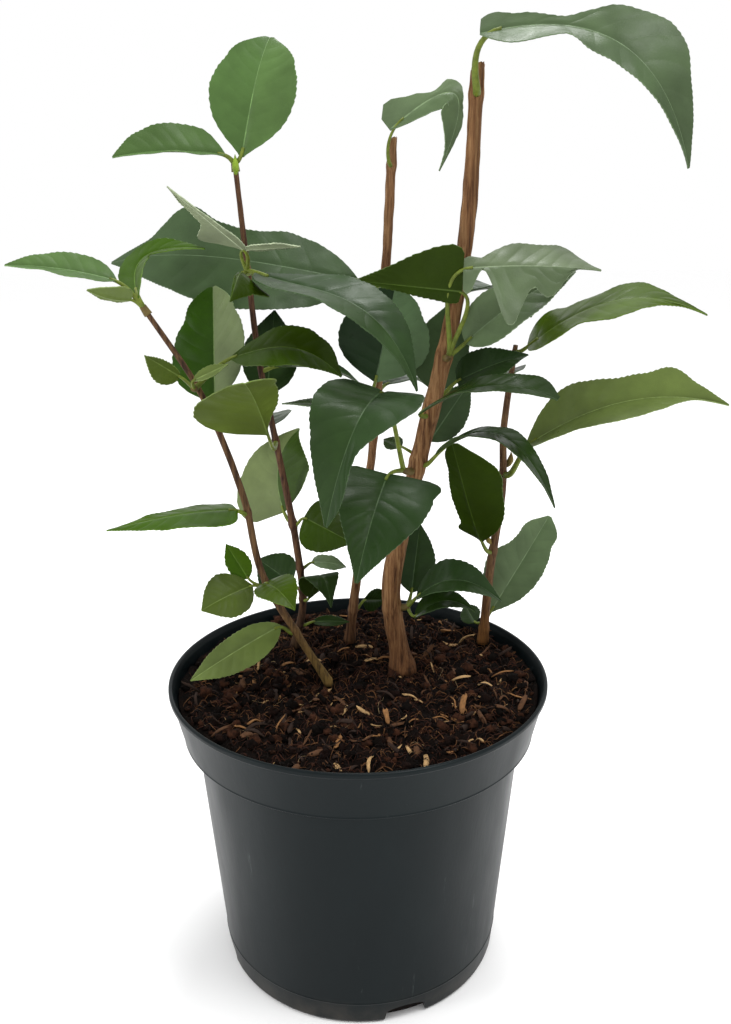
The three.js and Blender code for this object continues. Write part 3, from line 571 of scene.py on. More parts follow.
class Spline(Curve):
    """Centripetal curve through its stations."""

    def __init__(self, stations):
        self.points = [vec(*p) for p in stations]

    def at(self, t):
        last = len(self.points) - 1
        place = min(max(t, 0.0), 1.0) * last
        i = min(int(place), last - 1)
        share = place - i
        p1, p2 = self.points[i], self.points[i + 1]
        p0 = self.points[i - 1] if i > 0 else 2 * p1 - p2
        p3 = self.points[i + 2] if i + 2 <= last else 2 * p2 - p1
        d0, d1, d2 = (math.sqrt(np.linalg.norm(b - a)) for a, b in ((p0, p1), (p1, p2), (p2, p3)))
        m1 = ((p1 - p0) / d0 - (p2 - p0) / (d0 + d1) + (p2 - p1) / d1) * d1
        m2 = ((p2 - p1) / d1 - (p3 - p1) / (d1 + d2) + (p3 - p2) / d2) * d1
        c2 = -3 * p1 + 3 * p2 - 2 * m1 - m2
        c3 = 2 * p1 - 2 * p2 + m1 + m2
        return p1 + m1 * share + c2 * share ** 2 + c3 * share ** 3


class Bezier(Curve):
    """Curve with three or four handles."""

    def __init__(self, *handles):
        self.handles = [np.array(h, dtype=float) for h in handles]

    def at(self, t):
        level = self.handles
        while len(level) > 1:
            level = [a * (1 - t) + b * t for a, b in zip(level, level[1:])]
        return level[0]


def share_at_height(curve, height, halvings=30):
    low, high = 0.0, 1.0
    for _ in range(halvings):
        middle = (low + high) / 2
        if curve.at(middle)[2] < height:
            low = middle
        else:
            high = middle
    return (low + high) / 2


def cane_radius(cane, t, height):
    flare = max(0.0, 1 - (height - GROUND) / FLARE_HEIGHT)
    return lerp(cane.radius, t) * (1 + (cane.flare - 1) * flare * flare)


class Heap:
    """Vertices and faces of one joined mesh, with the name of the material of each face."""

    def __init__(self):
        self.verts = []
        self.faces = []
        self.kinds = []
        self.count = 0

    def add(self, verts, faces, kinds):
        verts = np.asarray(verts, dtype=float).reshape(-1, 3)
        self.verts.append(verts)
        self.faces.extend([tuple(i + self.count for i in face) for face in faces])
        self.kinds.extend([kinds] * len(faces) if isinstance(kinds, str) else kinds)
        self.count += len(verts)

    def build(self, name, materials, sharp=()):
        """Makes the object; faces of a sharp material keep a crisp border."""
        present = set(self.kinds)
        used = [kind for kind in materials if kind in present]
        number = {kind: i for i, kind in enumerate(used)}
        mesh = bpy.data.meshes.new(name)
        mesh.from_pydata((np.concatenate(self.verts) * MM).tolist(), [], self.faces)
        for kind in used:
            mesh.materials.append(materials[kind])
        mesh.polygons.foreach_set("material_index", [number[kind] for kind in self.kinds])
        mesh.polygons.foreach_set("use_smooth", [True] * len(self.faces))
        if sharp:
            mark_borders(mesh, [number[kind] for kind in sharp if kind in number])
        mesh.validate()
        mesh.update()
        return put_in_scene(name, mesh)


def put_in_scene(name, data):
    piece = bpy.data.objects.new(name, data)
    bpy.context.scene.collection.objects.link(piece)
    return piece


def plain_piece(name, verts, faces, material):
    """Object of one mesh in one material."""
    heap = Heap()
    heap.add(verts, faces, name)
    return heap.build(name, {name: material})


def mark_borders(mesh, sharp_kinds):
    """Marks sharp the edges between a face of a sharp kind and any other face."""
    kinds = np.zeros(len(mesh.polygons), dtype=np.int32)
    mesh.polygons.foreach_get("material_index", kinds)
    loops = np.zeros(len(mesh.loops), dtype=np.int32)
    mesh.loops.foreach_get("edge_index", loops)
    totals = np.zeros(len(mesh.polygons), dtype=np.int32)
    mesh.polygons.foreach_get("loop_total", totals)
    owner_sharp = np.repeat(np.isin(kinds, list(sharp_kinds)), totals)
    in_sharp = np.zeros(len(mesh.edges), dtype=bool)
    in_other = np.zeros(len(mesh.edges), dtype=bool)
    in_sharp[loops[owner_sharp]] = True
    in_other[loops[~owner_sharp]] = True
    border = mesh.attributes.new("sharp_edge", "BOOLEAN", "EDGE")
    border.data.foreach_set("value", in_sharp & in_other)


def wall_faces(rings, sides):
    """Faces between neighbours of a stack of closed rings."""
    faces = []
    for r in range(rings - 1):
        for i in range(sides):
            a = r * sides + i
            b = r * sides + (i + 1) % sides
            faces.append((a, b, b + sides, a + sides))
    return faces


def shell_faces(rings, sides):
    """Faces of a closed shell: its rings, and then one point at its foot and one at its head."""
    faces = wall_faces(rings, sides)
    foot = rings * sides
    last = (rings - 1) * sides
    for i in range(sides):
        j = (i + 1) % sides
        faces.append((foot, j, i))
        faces.append((foot + 1, last + i, last + j))
    return faces


def sheet_faces(rows, span):
    """Faces of a closed sheet of two layers of rows by span points: its first layer, its second, its rim."""
    count = rows * span
    first, second, rim = [], [], []
    for r in range(rows - 1):
        for c in range(span - 1):
            a = r * span + c
            quad = (a, a + 1, a + 1 + span, a + span)
            first.append(quad)
            second.append(tuple(i + count for i in reversed(quad)))
        for a, step in ((r * span, 1), (r * span + span - 1, -1)):
            rim.append((a, a + span, a + span + count, a + count)[::step])
    for start, step in ((0, 1), (count - span, -1)):
        for a in range(start, start + span - 1):
            rim.append((a, a + count, a + 1 + count, a + 1)[::step])
    return first, second, rim


def tube(curve, radius_at, sides, steps, shape=None):
    """Closed tube along a curve; shape(t, angle) adds relief to its radius."""
    points = []
    across = None
    for s in range(steps + 1):
        t = s / steps
        centre = curve.at(t)
        ahead = curve.tangent(t)
        if across is None:
            across = np.cross(vec(0, 0, 1), ahead) if abs(ahead[2]) < 0.9 else vec(1, 0, 0)
        across = unit(across - ahead * np.dot(across, ahead))
        other = np.cross(ahead, across)
        for i in range(sides):
            angle = FULL_TURN * i / sides
            radius = radius_at(t) + (shape(t, angle) if shape else 0)
            points.append(centre + radius * (across * math.cos(angle) + other * math.sin(angle)))
    faces = wall_faces(steps + 1, sides)
    faces.append(tuple(range(sides - 1, -1, -1)))
    faces.append(tuple(steps * sides + i for i in range(sides)))
    return points, faces


def blade_frame(leaf, foot):
    """Midrib curve of a blade, and a function giving places and directions at shares of its length."""
    length = leaf.size[0]
    ahead = heading(*leaf.way)
    face = unit(vec(0, 0, 1) - ahead * ahead[2])
    side = np.cross(ahead, face)
    roll = math.radians(leaf.roll)
    lift = face * math.cos(roll) + side * math.sin(roll)
    across = np.cross(ahead, lift)

    def handle(share, end):
        return foot + (ahead * share + lift * leaf.bow[end] + across * leaf.sway[end]) * length

    curve = Bezier(foot, handle(1 / 3, 0), handle(2 / 3, 1), foot + ahead * length)

    def at(shares):
        a, b, c, d = curve.handles
        t = np.asarray(shares)[..., None]
        s = 1 - t
        centre = a * s ** 3 + 3 * b * s * s * t + 3 * c * s * t * t + d * t ** 3
        tangent = (b - a) * s * s + 2 * (c - b) * s * t + (d - c) * t * t
        tangent /= np.linalg.norm(tangent, axis=-1, keepdims=True)
        flat = across - tangent * (tangent @ across)[..., None]
        flat /= np.linalg.norm(flat, axis=-1, keepdims=True)
        normal = np.cross(flat, tangent)
        turn = np.radians(lerp(leaf.tilt, t))
        wide = flat * np.cos(turn) + normal * np.sin(turn)
        top = normal * np.cos(turn) - flat * np.sin(turn)
        return centre, wide, top

    return curve, at


def smooth_profile(samples=201):
    """The blade's width profile with its corners rounded off."""
    fine = np.linspace(0, 1, samples)
    wide = np.interp(fine, BLADE_ALONG, BLADE_WIDE)
    for _ in range(BLADE_SMOOTHINGS):
        wide[1:-1] = (wide[:-2] + 2 * wide[1:-1] + wide[2:]) / 4
    return fine, wide


BLADE_PROFILE = smooth_profile()


def blade_reach(leaf, t, side):
    """Reach of the blade from its midrib to its left margin, side -1, or its right one, side 1."""
    end = 0 if side < 0 else 1
    reach = np.interp(t ** leaf.skew[end], *BLADE_PROFILE) * leaf.size[1] * leaf.halves[end] / 2
    for lobe_side, middle, span, swell in leaf.lobes:
        if lobe_side == side:
            away = np.minimum(1, np.abs(t - middle) / span)
            reach = reach + swell * (1 + np.cos(math.pi * away)) / 2
    return np.maximum(reach, BLADE_LEAST_REACH)


def blade_rows(length, teeth):
    """Shares of a blade's length at its rows of points, and its relief between side veins at each row."""
    rows = np.linspace(0, 1, ROWS_PER_TOOTH * teeth + 1)
    veins = (np.arange(VEIN_PAIRS) + VEIN_FIRST) / (VEIN_PAIRS + VEIN_AFTER)
    half = VEIN_WIDTH / 2 / length
    clear = np.abs(rows[:, None] - veins).min(axis=1) > half * VEIN_CLEAR
    rows = np.sort(np.concatenate([rows[clear], veins - half, veins + half]))
    order = np.interp(rows, np.concatenate([[-0.05], veins, [1.05]]), np.arange(VEIN_PAIRS + 2))
    return rows, np.sin(math.pi * (order % 1)) ** PILLOW_ROUND


def margin_wave(t, width, phase):
    """Slow waves of a blade's margin along it."""
    first, second = (np.sin(rate * t + start) for rate, start in zip(MARGIN_WAVES, phase))
    return MARGIN_WAVE * min(1.0, width / FULL_WAVE_WIDTH) * (first + 0.5 * second)


def half_blade(leaf, side, at, grid, rng):
    """Points above and below of one half of a blade, by row and by column from the midrib to the margin."""
    rows, teeth, pillow = grid
    length, width = leaf.size
    small = min(1.0, length / FULL_RELIEF_LENGTH)
    shares = np.array(COLUMNS)
    slant = min(VEIN_SLANT_MOST, VEIN_SLANT * blade_reach(leaf, rows, side).max() / length)
    t = rows[:, None] + slant * np.sin(math.pi * rows)[:, None] * shares ** VEIN_BEND
    centre, wide, top = at(t)
    reach = blade_reach(leaf, t, side)
    ends = np.sqrt(np.sin(math.pi * np.clip(t, 0, 1)))
    saw = np.minimum(1, (rows * teeth) % 1 * TOOTH_RISE)[:, None]
    outer = reach + TOOTH_DEPTH * (saw - TOOTH_LEVEL) * ends
    rib = np.minimum(RIB_WIDTH * (1 - RIB_TAPER * t), reach * RIB_MOST)
    edge = np.minimum(EDGE_WIDTH, reach * EDGE_MOST)
    out = rib + (outer - edge - rib) * shares
    out[:, 0] = 0
    out[:, 1] = rib[:, 1]
    out[:, -2] = (outer - edge)[:, -2]
    out[:, -1] = outer[:, -1]
    share = out / reach
    phase = [rng.uniform(0, FULL_TURN) for _ in range(4)]
    wave = margin_wave(t, width, phase) * share ** 2 * ends
    along, outward = BUCKLE_LENGTHS
    buckle = BUCKLE * np.sin(length * t / along + phase[2]) * np.sin(out / outward + phase[3]) * share * ends
    fold = np.radians(lerp(leaf.fold, t))
    lift = out * np.sin(fold) + wave + buckle * small
    point = centre + wide * (side * out * np.cos(fold))[..., None] + top * lift[..., None]
    fade = np.minimum(1, out / PILLOW_FADE) * np.maximum(0, 1 - share ** 4)
    relief = PILLOW_HEIGHT * (pillow[:, None] - 0.5) * fade * small
    ribbed = np.exp(-((out / (rib * RIB_SPREAD + RIB_SOFT)) ** 2)) * (1 - RIB_FADE * t)
    thin = np.full(out.shape, BLADE_HALF)
    thin[:, -1] *= EDGE_THIN
    above = point + top * (thin + relief - RIB_GROOVE * ribbed)[..., None]
    below = point + top * (relief * PILLOW_BELOW - thin - 0.02 - RIB_RIDGE * ribbed)[..., None]
    return above, below


def row_kinds(tint, span, face):
    """Kinds of the faces across a blade, whose margins and midrib are drawn as lines."""
    middle = span // 2
    lines = (0, middle - 1, middle, span - 2)
    halves = [tint + ("_left" if c < middle else "_right") + face for c in range(span - 1)]
    return [tint + "_line" if c in lines else half for c, half in enumerate(halves)]


def add_blade(heap, leaf, foot, seed):
    """One blade: toothed margin, sunk midrib and side veins above, raised midrib below."""
    length = leaf.size[0]
    rng = random.Random(seed)
    tooth = TOOTH_LENGTH if length > SMALL_LEAF else TOOTH_LENGTH * TOOTH_SMALL
    teeth = max(LEAST_TEETH, round(length / tooth))
    rows, pillow = blade_rows(length, teeth)
    _, at = blade_frame(leaf, foot)
    halves = [half_blade(leaf, side, at, (rows, teeth, pillow), rng) for side in (-1, 1)]
    above, below = (np.concatenate([halves[0][i][:, :0:-1], halves[1][i]], axis=1) for i in (0, 1))
    span = above.shape[1]
    upper, under, rim = sheet_faces(len(rows), span)
    kinds = [row_kinds(leaf.tint, span, face) * (len(rows) - 1) for face in ("", "_under")]
    heap.add(np.concatenate([above.reshape(-1, 3), below.reshape(-1, 3)]), upper + under + rim,
             kinds[0] + kinds[1] + [leaf.tint + "_line"] * len(rim))


def spray_root(spray, toward):
    cane = CANES[spray.cane]
    curve = Spline(cane.through)
    if spray.at == "tip":
        tip = curve.at(1)
        ahead = curve.tangent(1)
        return tip, tip + ahead * CLEAR, ahead
    t = share_at_height(curve, spray.at)
    centre = curve.at(t)
    ahead = curve.tangent(t)
    direction = unit(toward - ahead * np.dot(toward, ahead))
    start = centre + direction * (cane_radius(cane, t, centre[2]) + SPRAY_CLEAR)
    return centre, start, direction


def stalk_radius(length):
    if length > LARGE_LEAF:
        return STALK_LARGE_RADIUS
    return STALK_SMALL_RADIUS if length < SMALL_LEAF else STALK_RADIUS


def grow_spray(name, spray, blades, stalks):
    """Adds a spray's spur, stalks and blades to their heaps."""
    first = spray.leaves[0].foot
    toward = heading(spray.spur[0], 0) if spray.spur else unit(vec(first[0], first[1], 0))
    centre, start, direction = spray_root(spray, toward)
    seat = start - direction * (SPRAY_CLEAR + STALK_SEAT)
    origin, set_off = seat, direction
    if spray.spur:
        turn, rise, length = spray.spur
        bend = start + direction * length / 2
        path = Bezier(seat, bend, bend + heading(turn, rise) * length / 2)
        spur = tube(path, lambda t: SPUR_RADIUS * lerp(SPUR_FADE, t), TWIG_SIDES, SPUR_STEPS)
        stalks.add(*spur, "spur_brown")
        set_off = path.tangent(1)
        origin = path.at(1) - set_off * SPUR_INTO_STALK
    for i, leaf in enumerate(spray.leaves):
        foot = centre + vec(*leaf.foot)
        off = unit(foot - origin) if spray.spur else set_off
        curve, _ = blade_frame(leaf, foot)
        reach = np.linalg.norm(foot - origin) / 3
        path = Bezier(origin, origin + off * reach, foot - curve.tangent(0) * reach,
                      curve.at(STALK_INTO_BLADE))
        radius = stalk_radius(leaf.size[0])
        stalk = tube(path, lambda t: radius * lerp(STALK_FADE, t), TWIG_SIDES, STALK_STEPS)
        stalks.add(*stalk, "stalk_green")
        add_blade(blades, leaf, foot, f"{name}{i}")


def add_bud(heap, row):
    """Pointed bud in overlapping scales, seated in the side of its cane."""
    cane, at, turn, rise, length, radius, kind = row
    curve = Spline(CANES[cane].through)
    t = share_at_height(curve, at)
    start = curve.at(t) + heading(turn, 0) * cane_radius(CANES[cane], t, at) * BUD_SEAT
    path = Bezier(start, start + heading(turn, rise / 2) * length / 2, start + heading(turn, rise) * length)

    def radius_at(t):
        return radius * (0.4 + 0.6 * math.sin(math.pi * t)) * (1 - t ** 4) + 0.05

    def scales(t, angle):
        return 0.08 * radius * abs(math.sin(1.5 * angle + 9 * t))

    heap.add(*tube(path, radius_at, BUD_SIDES, BUD_STEPS, scales), kind)


def behind_spray(row):
    cane, at, turn, rise, length, width = row
    out = heading(turn, 0) * (CANES[cane].radius[0] + BEHIND_FOOT)
    leaf = Leaf("deep", [out[0], out[1], BEHIND_FOOT / 2], [turn, rise], [length, width], 0, BEHIND_BOW,
                BEHIND_FOLD)
    return Spray(cane, at, [leaf])


class Nodes:
    """Short-hand for building one material's node tree."""

    def __init__(self, name):
        self.material = bpy.data.materials.new(name)
        self.material.use_nodes = True
        self.tree = self.material.node_tree
        self.shader = self.tree.nodes["Principled BSDF"]
        self.place = self.tree.nodes.new("ShaderNodeTexCoord").outputs["Object"]

    def node(self, kind, **values):
        """New node with its inputs set, each named with _ for a space, to a value or to another's output."""
        node = self.tree.nodes.new("ShaderNode" + kind)
        for name, value in values.items():
            self.give(node.inputs[name.replace("_", " ")], value)
        return node

    def give(self, socket, value):
        if isinstance(value, bpy.types.NodeSocket):
            self.tree.links.new(value, socket)
        else:
            socket.default_value = value

    def noise(self, scale, detail=4.0, stretch=(1, 1, 1), rough=0.55):
        mapping = self.node("Mapping", Scale=stretch, Vector=self.place)
        place = mapping.outputs["Vector"]
        return self.node("TexNoise", Scale=scale, Detail=detail, Roughness=rough, Vector=place).outputs["Fac"]

    def ramp(self, fac, stops):
        """Colour ramp through [place, sRGB colour] stops."""
        node = self.node("ValToRGB", Fac=fac)
        elements = node.color_ramp.elements
        while len(elements) < len(stops):
            elements.new(0.5)
        for element, (place, color) in zip(elements, stops):
            element.position = place
            element.color = srgb(color)
        return node.outputs["Color"]

    def span(self, fac, low, high, start=0.3, stop=0.7):
        """The value mapped from start and stop to low and high."""
        node = self.node("MapRange", From_Min=start, From_Max=stop, To_Min=low, To_Max=high, Value=fac)
        return node.outputs["Result"]

    def mix(self, fac, first, second):
        node = self.node("Mix")
        node.data_type = "RGBA"
        for name, value in (("Factor", fac), ("A", first), ("B", second)):
            self.give(node.inputs[name], value)
        return node.outputs["Result"]

    def height(self):
        return self.node("SeparateXYZ", Vector=self.place).outputs["Z"]

    def product(self, first, second):
        node = self.node("Math")
        node.operation = "MULTIPLY"
        self.give(node.inputs[0], first)
        self.give(node.inputs[1], second)
        return node.outputs["Value"]

    def finish(self, body, rough, gloss, grain, strength, distance):
        """Sets the surface's colour, roughness and gloss, and its grain as a bump of a depth in metres."""
        self.give(self.shader.inputs["Base Color"], body)
        self.give(self.shader.inputs["Roughness"], rough)
        self.shader.inputs["Specular IOR Level"].default_value = gloss
        bump = self.node("Bump", Strength=strength, Distance=distance, Height=grain)
        self.give(self.shader.inputs["Normal"], bump.outputs["Normal"])
        return self.material


def shade(color, factor):
    return tuple(min(255, c * factor) for c in color)


def leaf_material(name, color, gloss):
    """Leathery leaf: faintly blotched colour, fine pores and uneven gloss."""
    nodes = Nodes(name)
    blotch = nodes.noise(45, 5)
    body = nodes.ramp(blotch, [(0.3, shade(color, 0.88)), (0.52, color), (0.75, shade(color, 1.12))])
    rough = nodes.span(nodes.noise(160, 3), gloss, gloss + 0.14)
    return nodes.finish(body, rough, 0.09, nodes.noise(1500, 2), 0.18, 0.0003)


def leaf_materials():
    """Every tint's materials: both faces of both halves, and the line of its midrib and margin."""
    materials = {}
    for tint, halves in TINTS.items():
        for half, (upper, lower) in zip(("_left", "_right"), halves):
            materials[tint + half] = leaf_material(tint + half, upper, 0.27)
            materials[tint + half + "_under"] = leaf_material(tint + half + "_under", lower, 0.5)
        mean = [(a + b) / 2 for a, b in zip(halves[0][0], halves[1][0])]
        line = [value * 1.1 + 14 for value in mean]
        materials[tint + "_line"] = plain_material(tint + "_line", line, 0.42)
    return materials


def plain_material(name, color, rough, scale=300.0):
    """Small parts: a little mottling and a fine grain."""
    nodes = Nodes(name)
    body = nodes.ramp(nodes.noise(scale, 4), [(0.3, shade(color, 0.85)), (0.7, shade(color, 1.15))])
    return nodes.finish(body, rough, 0.2, nodes.noise(scale * 4, 3), 0.25, 0.0004)


def bark_material(name, dark, middle, light, foot):
    """Fibrous bark: long broken streaks up the cane, darker patches and another colour near the ground."""
    nodes = Nodes(name)
    streaks = nodes.noise(620, 8, (1, 1, 0.045), 0.7)
    patches = nodes.noise(70, 4, (1, 1, 0.35))
    body = nodes.ramp(streaks, [(0.36, dark), (0.47, middle), (0.6, light)])
    dull = nodes.mix(nodes.span(patches, 0.0, 0.55, 0.45, 0.7), body, srgb(dark))
    low = nodes.ramp(streaks, [(0.36, shade(foot, 0.5)), (0.6, foot)])
    near = nodes.span(nodes.height(), 0.85, 0.0, GROUND * MM, FOOT_BARK_TOP * MM)
    body = nodes.mix(near, dull, low)
    return nodes.finish(body, nodes.span(streaks, 0.6, 0.85), 0.15, streaks, 0.8, 0.0008)


def pot_material():
    """Satin moulded plastic with smudges, hair scratches and a dusty foot."""
    nodes = Nodes("pot_plastic")
    smudge = nodes.noise(14, 5, (1, 1, 0.5))
    body = nodes.ramp(smudge, [(0.35, (8, 16, 18)), (0.6, (11, 20, 22)), (0.8, (18, 27, 28))])
    scratches = nodes.span(nodes.noise(260, 5, (1, 1, 0.06), 0.7), 0.0, 0.5, 0.66, 0.72)
    body = nodes.mix(scratches, body, srgb((66, 72, 71)))
    foot = nodes.span(nodes.height(), 0.55, 0.0, 0.3 * MOULD_LINE * MM, 1.2 * MOULD_LINE * MM)
    grime = nodes.product(foot, nodes.span(nodes.noise(120, 6), 0.2, 1.0, 0.35, 0.65))
    body = nodes.mix(grime, body, srgb((62, 58, 53)))
    rough = nodes.span(nodes.noise(40, 6, (1, 1, 0.3)), 0.3, 0.46)
    return nodes.finish(body, rough, 0.13, nodes.noise(700, 3, (1, 1, 0.25)), 0.08, 0.0004)


def soil_material(name, dark, light):
    """Dull crumbly peat."""
    nodes = Nodes(name)
    body = nodes.ramp(nodes.noise(260, 6, rough=0.7), [(0.35, dark), (0.7, light)])
    return nodes.finish(body, 0.95, 0.08, nodes.noise(1400, 4), 0.8, 0.001)


def lathe(profile, sides):
    """Closed mesh of revolution about +Z from [radius, height] pairs that start and end on the axis."""
    verts = []
    for radius, height in profile[1:-1]:
        verts.extend((*on_circle(i / sides, radius), height) for i in range(sides))
    verts.append((0, 0, profile[0][1]))
    verts.append((0, 0, profile[-1][1]))
    return verts, shell_faces(len(profile) - 2, sides)


def rounded(profile, reach, steps=4):
    """The profile with each inner corner turned into a small arc."""
    out = [profile[0]]
    for before, corner, after in zip(profile, profile[1:], profile[2:]):
        a, b, c = vec(*before), vec(*corner), vec(*after)
        cut = min(reach, np.linalg.norm(a - b) * 0.45, np.linalg.norm(c - b) * 0.45)
        start = b + unit(a - b) * cut
        stop = b + unit(c - b) * cut
        out.extend(tuple(Bezier(start, b, stop).at(s / steps)) for s in range(steps + 1))
    out.append(profile[-1])
    return out


def mould_line(radius):
    """Low raised line round the pot's wall, as part of its profile."""
    proud = radius + MOULD_LINE_PROUD
    return [(radius, MOULD_LINE - MOULD_LINE_HALF), (proud, MOULD_LINE - MOULD_LINE_FLAT),
            (proud, MOULD_LINE + MOULD_LINE_FLAT), (radius, MOULD_LINE + MOULD_LINE_HALF)]


def pot_profile():
    lip_foot = POT_HEIGHT - LIP_HEIGHT
    return [
        (0, 0),
        (BODY_BOTTOM_RADIUS - FOOT_INSET, 0),
        (BODY_BOTTOM_RADIUS, FOOT_ROUND),
        *mould_line(lerp((BODY_BOTTOM_RADIUS, BODY_TOP_RADIUS), MOULD_LINE / COLLAR_BOTTOM)),
        (BODY_TOP_RADIUS, COLLAR_BOTTOM),
        (COLLAR_BOTTOM_RADIUS, COLLAR_BOTTOM),
        *[(COLLAR_BOTTOM_RADIUS + proud, COLLAR_BOTTOM + height) for proud, height in COLLAR_BEAD],
        (RIM_RADIUS - LIP_PROUD, lip_foot),
        (RIM_RADIUS, lip_foot + LIP_ROUND),
        (RIM_RADIUS, POT_HEIGHT - RIM_EDGE),
        (RIM_RADIUS - RIM_ROUND, POT_HEIGHT),
        (RIM_RADIUS - WALL, POT_HEIGHT - RIM_DIP),
        (RIM_RADIUS - LIP_PROUD - WALL, lip_foot),
        (COLLAR_BOTTOM_RADIUS - WALL, COLLAR_BOTTOM + WALL),
        (BODY_TOP_RADIUS - WALL, COLLAR_BOTTOM + WALL),
        (BODY_BOTTOM_RADIUS - WALL, FLOOR),
        (0, FLOOR),
    ]


def make_pot():
    """The moulded pot with its drain openings cut out."""
    plastic = pot_material()
    pot = plain_piece("nursery_pot", *lathe(rounded(pot_profile(), CORNER_ROUND), POT_SIDES), plastic)
    for turn in NOTCH_TURNS:
        cutter = notch_cutter(turn, plastic)
        cut = pot.modifiers.new("drain", "BOOLEAN")
        cut.operation = "DIFFERENCE"
        cut.solver = "EXACT"
        cut.object = cutter
        with bpy.context.temp_override(object=pot, active_object=pot):
            bpy.ops.object.modifier_apply(modifier=cut.name)
        bpy.data.objects.remove(cutter)
    pot.data.set_sharp_from_angle(angle=math.radians(SHARP_ANGLE))
    return pot


def notch_cutter(turn, plastic):
    """Block with a round-shouldered top for one drain opening in the foot."""
    half = NOTCH_WIDTH / 2
    outline = [(-half - NOTCH_SPLAY, -NOTCH_BELOW), (-half - NOTCH_SPLAY / 3, FOOT_ROUND)]
    for i in range(NOTCH_STEPS + 1):
        y, z = on_circle(0.5 - i / NOTCH_STEPS / 2)
        outline.append((half * NOTCH_TAPER * y, NOTCH_HEIGHT + NOTCH_SHOULDER * (z - 1)))
    outline.extend([(half + NOTCH_SPLAY / 3, FOOT_ROUND), (half + NOTCH_SPLAY, -NOTCH_BELOW)])
    count = len(outline)
    depths = (BODY_BOTTOM_RADIUS - NOTCH_DEPTH / 2, BODY_BOTTOM_RADIUS + NOTCH_DEPTH)
    turned = Matrix.Rotation(math.radians(turn), 3, "Z")
    verts = [turned @ Vector((depth, y, z)) for depth in depths for y, z in outline]
    faces = [(i, i + count, (i + 1) % count + count, (i + 1) % count) for i in range(count)]
    faces.append(tuple(range(count)))
    faces.append(tuple(range(2 * count - 1, count - 1, -1)))
    return plain_piece("notch_cutter", verts, faces, plastic)


def soil_height(x, y):
    """Height of the peat's crust: broad lumps and grit, and clods and crumbs with dark gaps between them."""
    here = Vector((x, y, 0))
    height = SOIL_TOP - SOIL_SINK
    for length, swell, offset in SOIL_ROUND:
        height += swell * noise.noise(here / length + Vector(offset))
    for length, swell, level, offset in SOIL_CRACKED:
        height += swell * (level - abs(noise.noise(here / length + Vector(offset))))
    return height


def make_soil_body():
    """The body of peat: smooth against the pot's wall, lumpy on top."""
    gap = WALL + CLEAR
    wall = [(BODY_BOTTOM_RADIUS - gap, FLOOR + CLEAR), (BODY_TOP_RADIUS - gap, COLLAR_BOTTOM + gap),
            (COLLAR_BOTTOM_RADIUS - gap, COLLAR_BOTTOM + gap),
            (SOIL_RADIUS - CLEAR, SOIL_TOP - SOIL_EDGE_DEPTH)]
    circle = [on_circle(i / SOIL_SIDES) for i in range(SOIL_SIDES)]
    verts = [(radius * c, radius * s, height) for radius, height in wall for c, s in circle]
    for r in range(SOIL_RINGS, 0, -1):
        radius = (SOIL_RADIUS - SOIL_CRUST_INSET) * r / SOIL_RINGS
        verts.extend((radius * c, radius * s, soil_height(radius * c, radius * s)) for c, s in circle)
    verts.append((0, 0, FLOOR + CLEAR))
    verts.append((0, 0, soil_height(0, 0)))
    peat = soil_material("peat", (5, 4, 3), (26, 16, 12))
    return plain_piece("peat", verts, shell_faces(len(wall) + SOIL_RINGS, SOIL_SIDES), peat)


def soil_place(rng, margin):
    """Random place on the soil, clear of the canes."""
    while True:
        radius = (SOIL_RADIUS - margin) * math.sqrt(rng.random())
        angle = rng.uniform(0, FULL_TURN)
        x, y = radius * math.cos(angle), radius * math.sin(angle)
        feet = (cane.through[0] for cane in CANES.values())
        if all(math.hypot(x - foot[0], y - foot[1]) > CANE_CLEAR for foot in feet):
            return x, y


def add_clod(heap, rng, kind):
    """Crumb of peat: a knobbly lump."""
    x, y = soil_place(rng, CLOD_MARGIN)
    size = lerp(CLOD_RADIUS, rng.random() ** CLOD_SMALLNESS)
    flat = rng.uniform(*CLOD_FLATNESS)
    centre = Vector((x, y, soil_height(x, y) + size * 0.3))
    seed = Vector((rng.uniform(0, 90), rng.uniform(0, 90), 0))
    verts = []
    for r in range(1, CLOD_RINGS):
        polar = math.pi * r / CLOD_RINGS
        for i in range(CLOD_SIDES):
            way = Vector((*on_circle(i / CLOD_SIDES, math.sin(polar)), math.cos(polar)))
            reach = size * (0.8 + 0.9 * noise.noise(way * 1.7 + seed))
            verts.append(centre + Vector((way.x, way.y, way.z * flat)) * reach)
    verts.append(centre + Vector((0, 0, size * flat)))
    verts.append(centre - Vector((0, 0, size * flat)))
    faces = [face[:1] + face[:0:-1] for face in shell_faces(CLOD_RINGS - 1, CLOD_SIDES)]
    heap.add(verts, faces, kind)


def add_strand(heap, rng, kind, sizes, start=None):
    """Curled fibre lying on the soil, from a random place or the one given."""
    length, radius, rise = (rng.uniform(least, most) for least, most in sizes)
    x, y = start or soil_place(rng, STRAND_MARGIN)
    turn = rng.uniform(0, FULL_TURN)
    bend = rng.uniform(-STRAND_BEND, STRAND_BEND)
    points = []
    for s in range(STRAND_STEPS + 1):
        if math.hypot(x, y) > SOIL_RADIUS - 2:
            turn = math.atan2(-y, -x)
        arch = math.sin(math.pi * s / STRAND_STEPS)
        points.append(vec(x, y, soil_height(x, y) + 0.1 + rise * arch))
        x += math.cos(turn) * length / STRAND_STEPS
        y += math.sin(turn) * length / STRAND_STEPS
        turn += bend + rng.uniform(-STRAND_WANDER, STRAND_WANDER)
    thread = tube(Spline(points), lambda t: radius * (1 - 0.6 * t), STRAND_SIDES, STRAND_STEPS - 1)
    heap.add(*thread, kind)


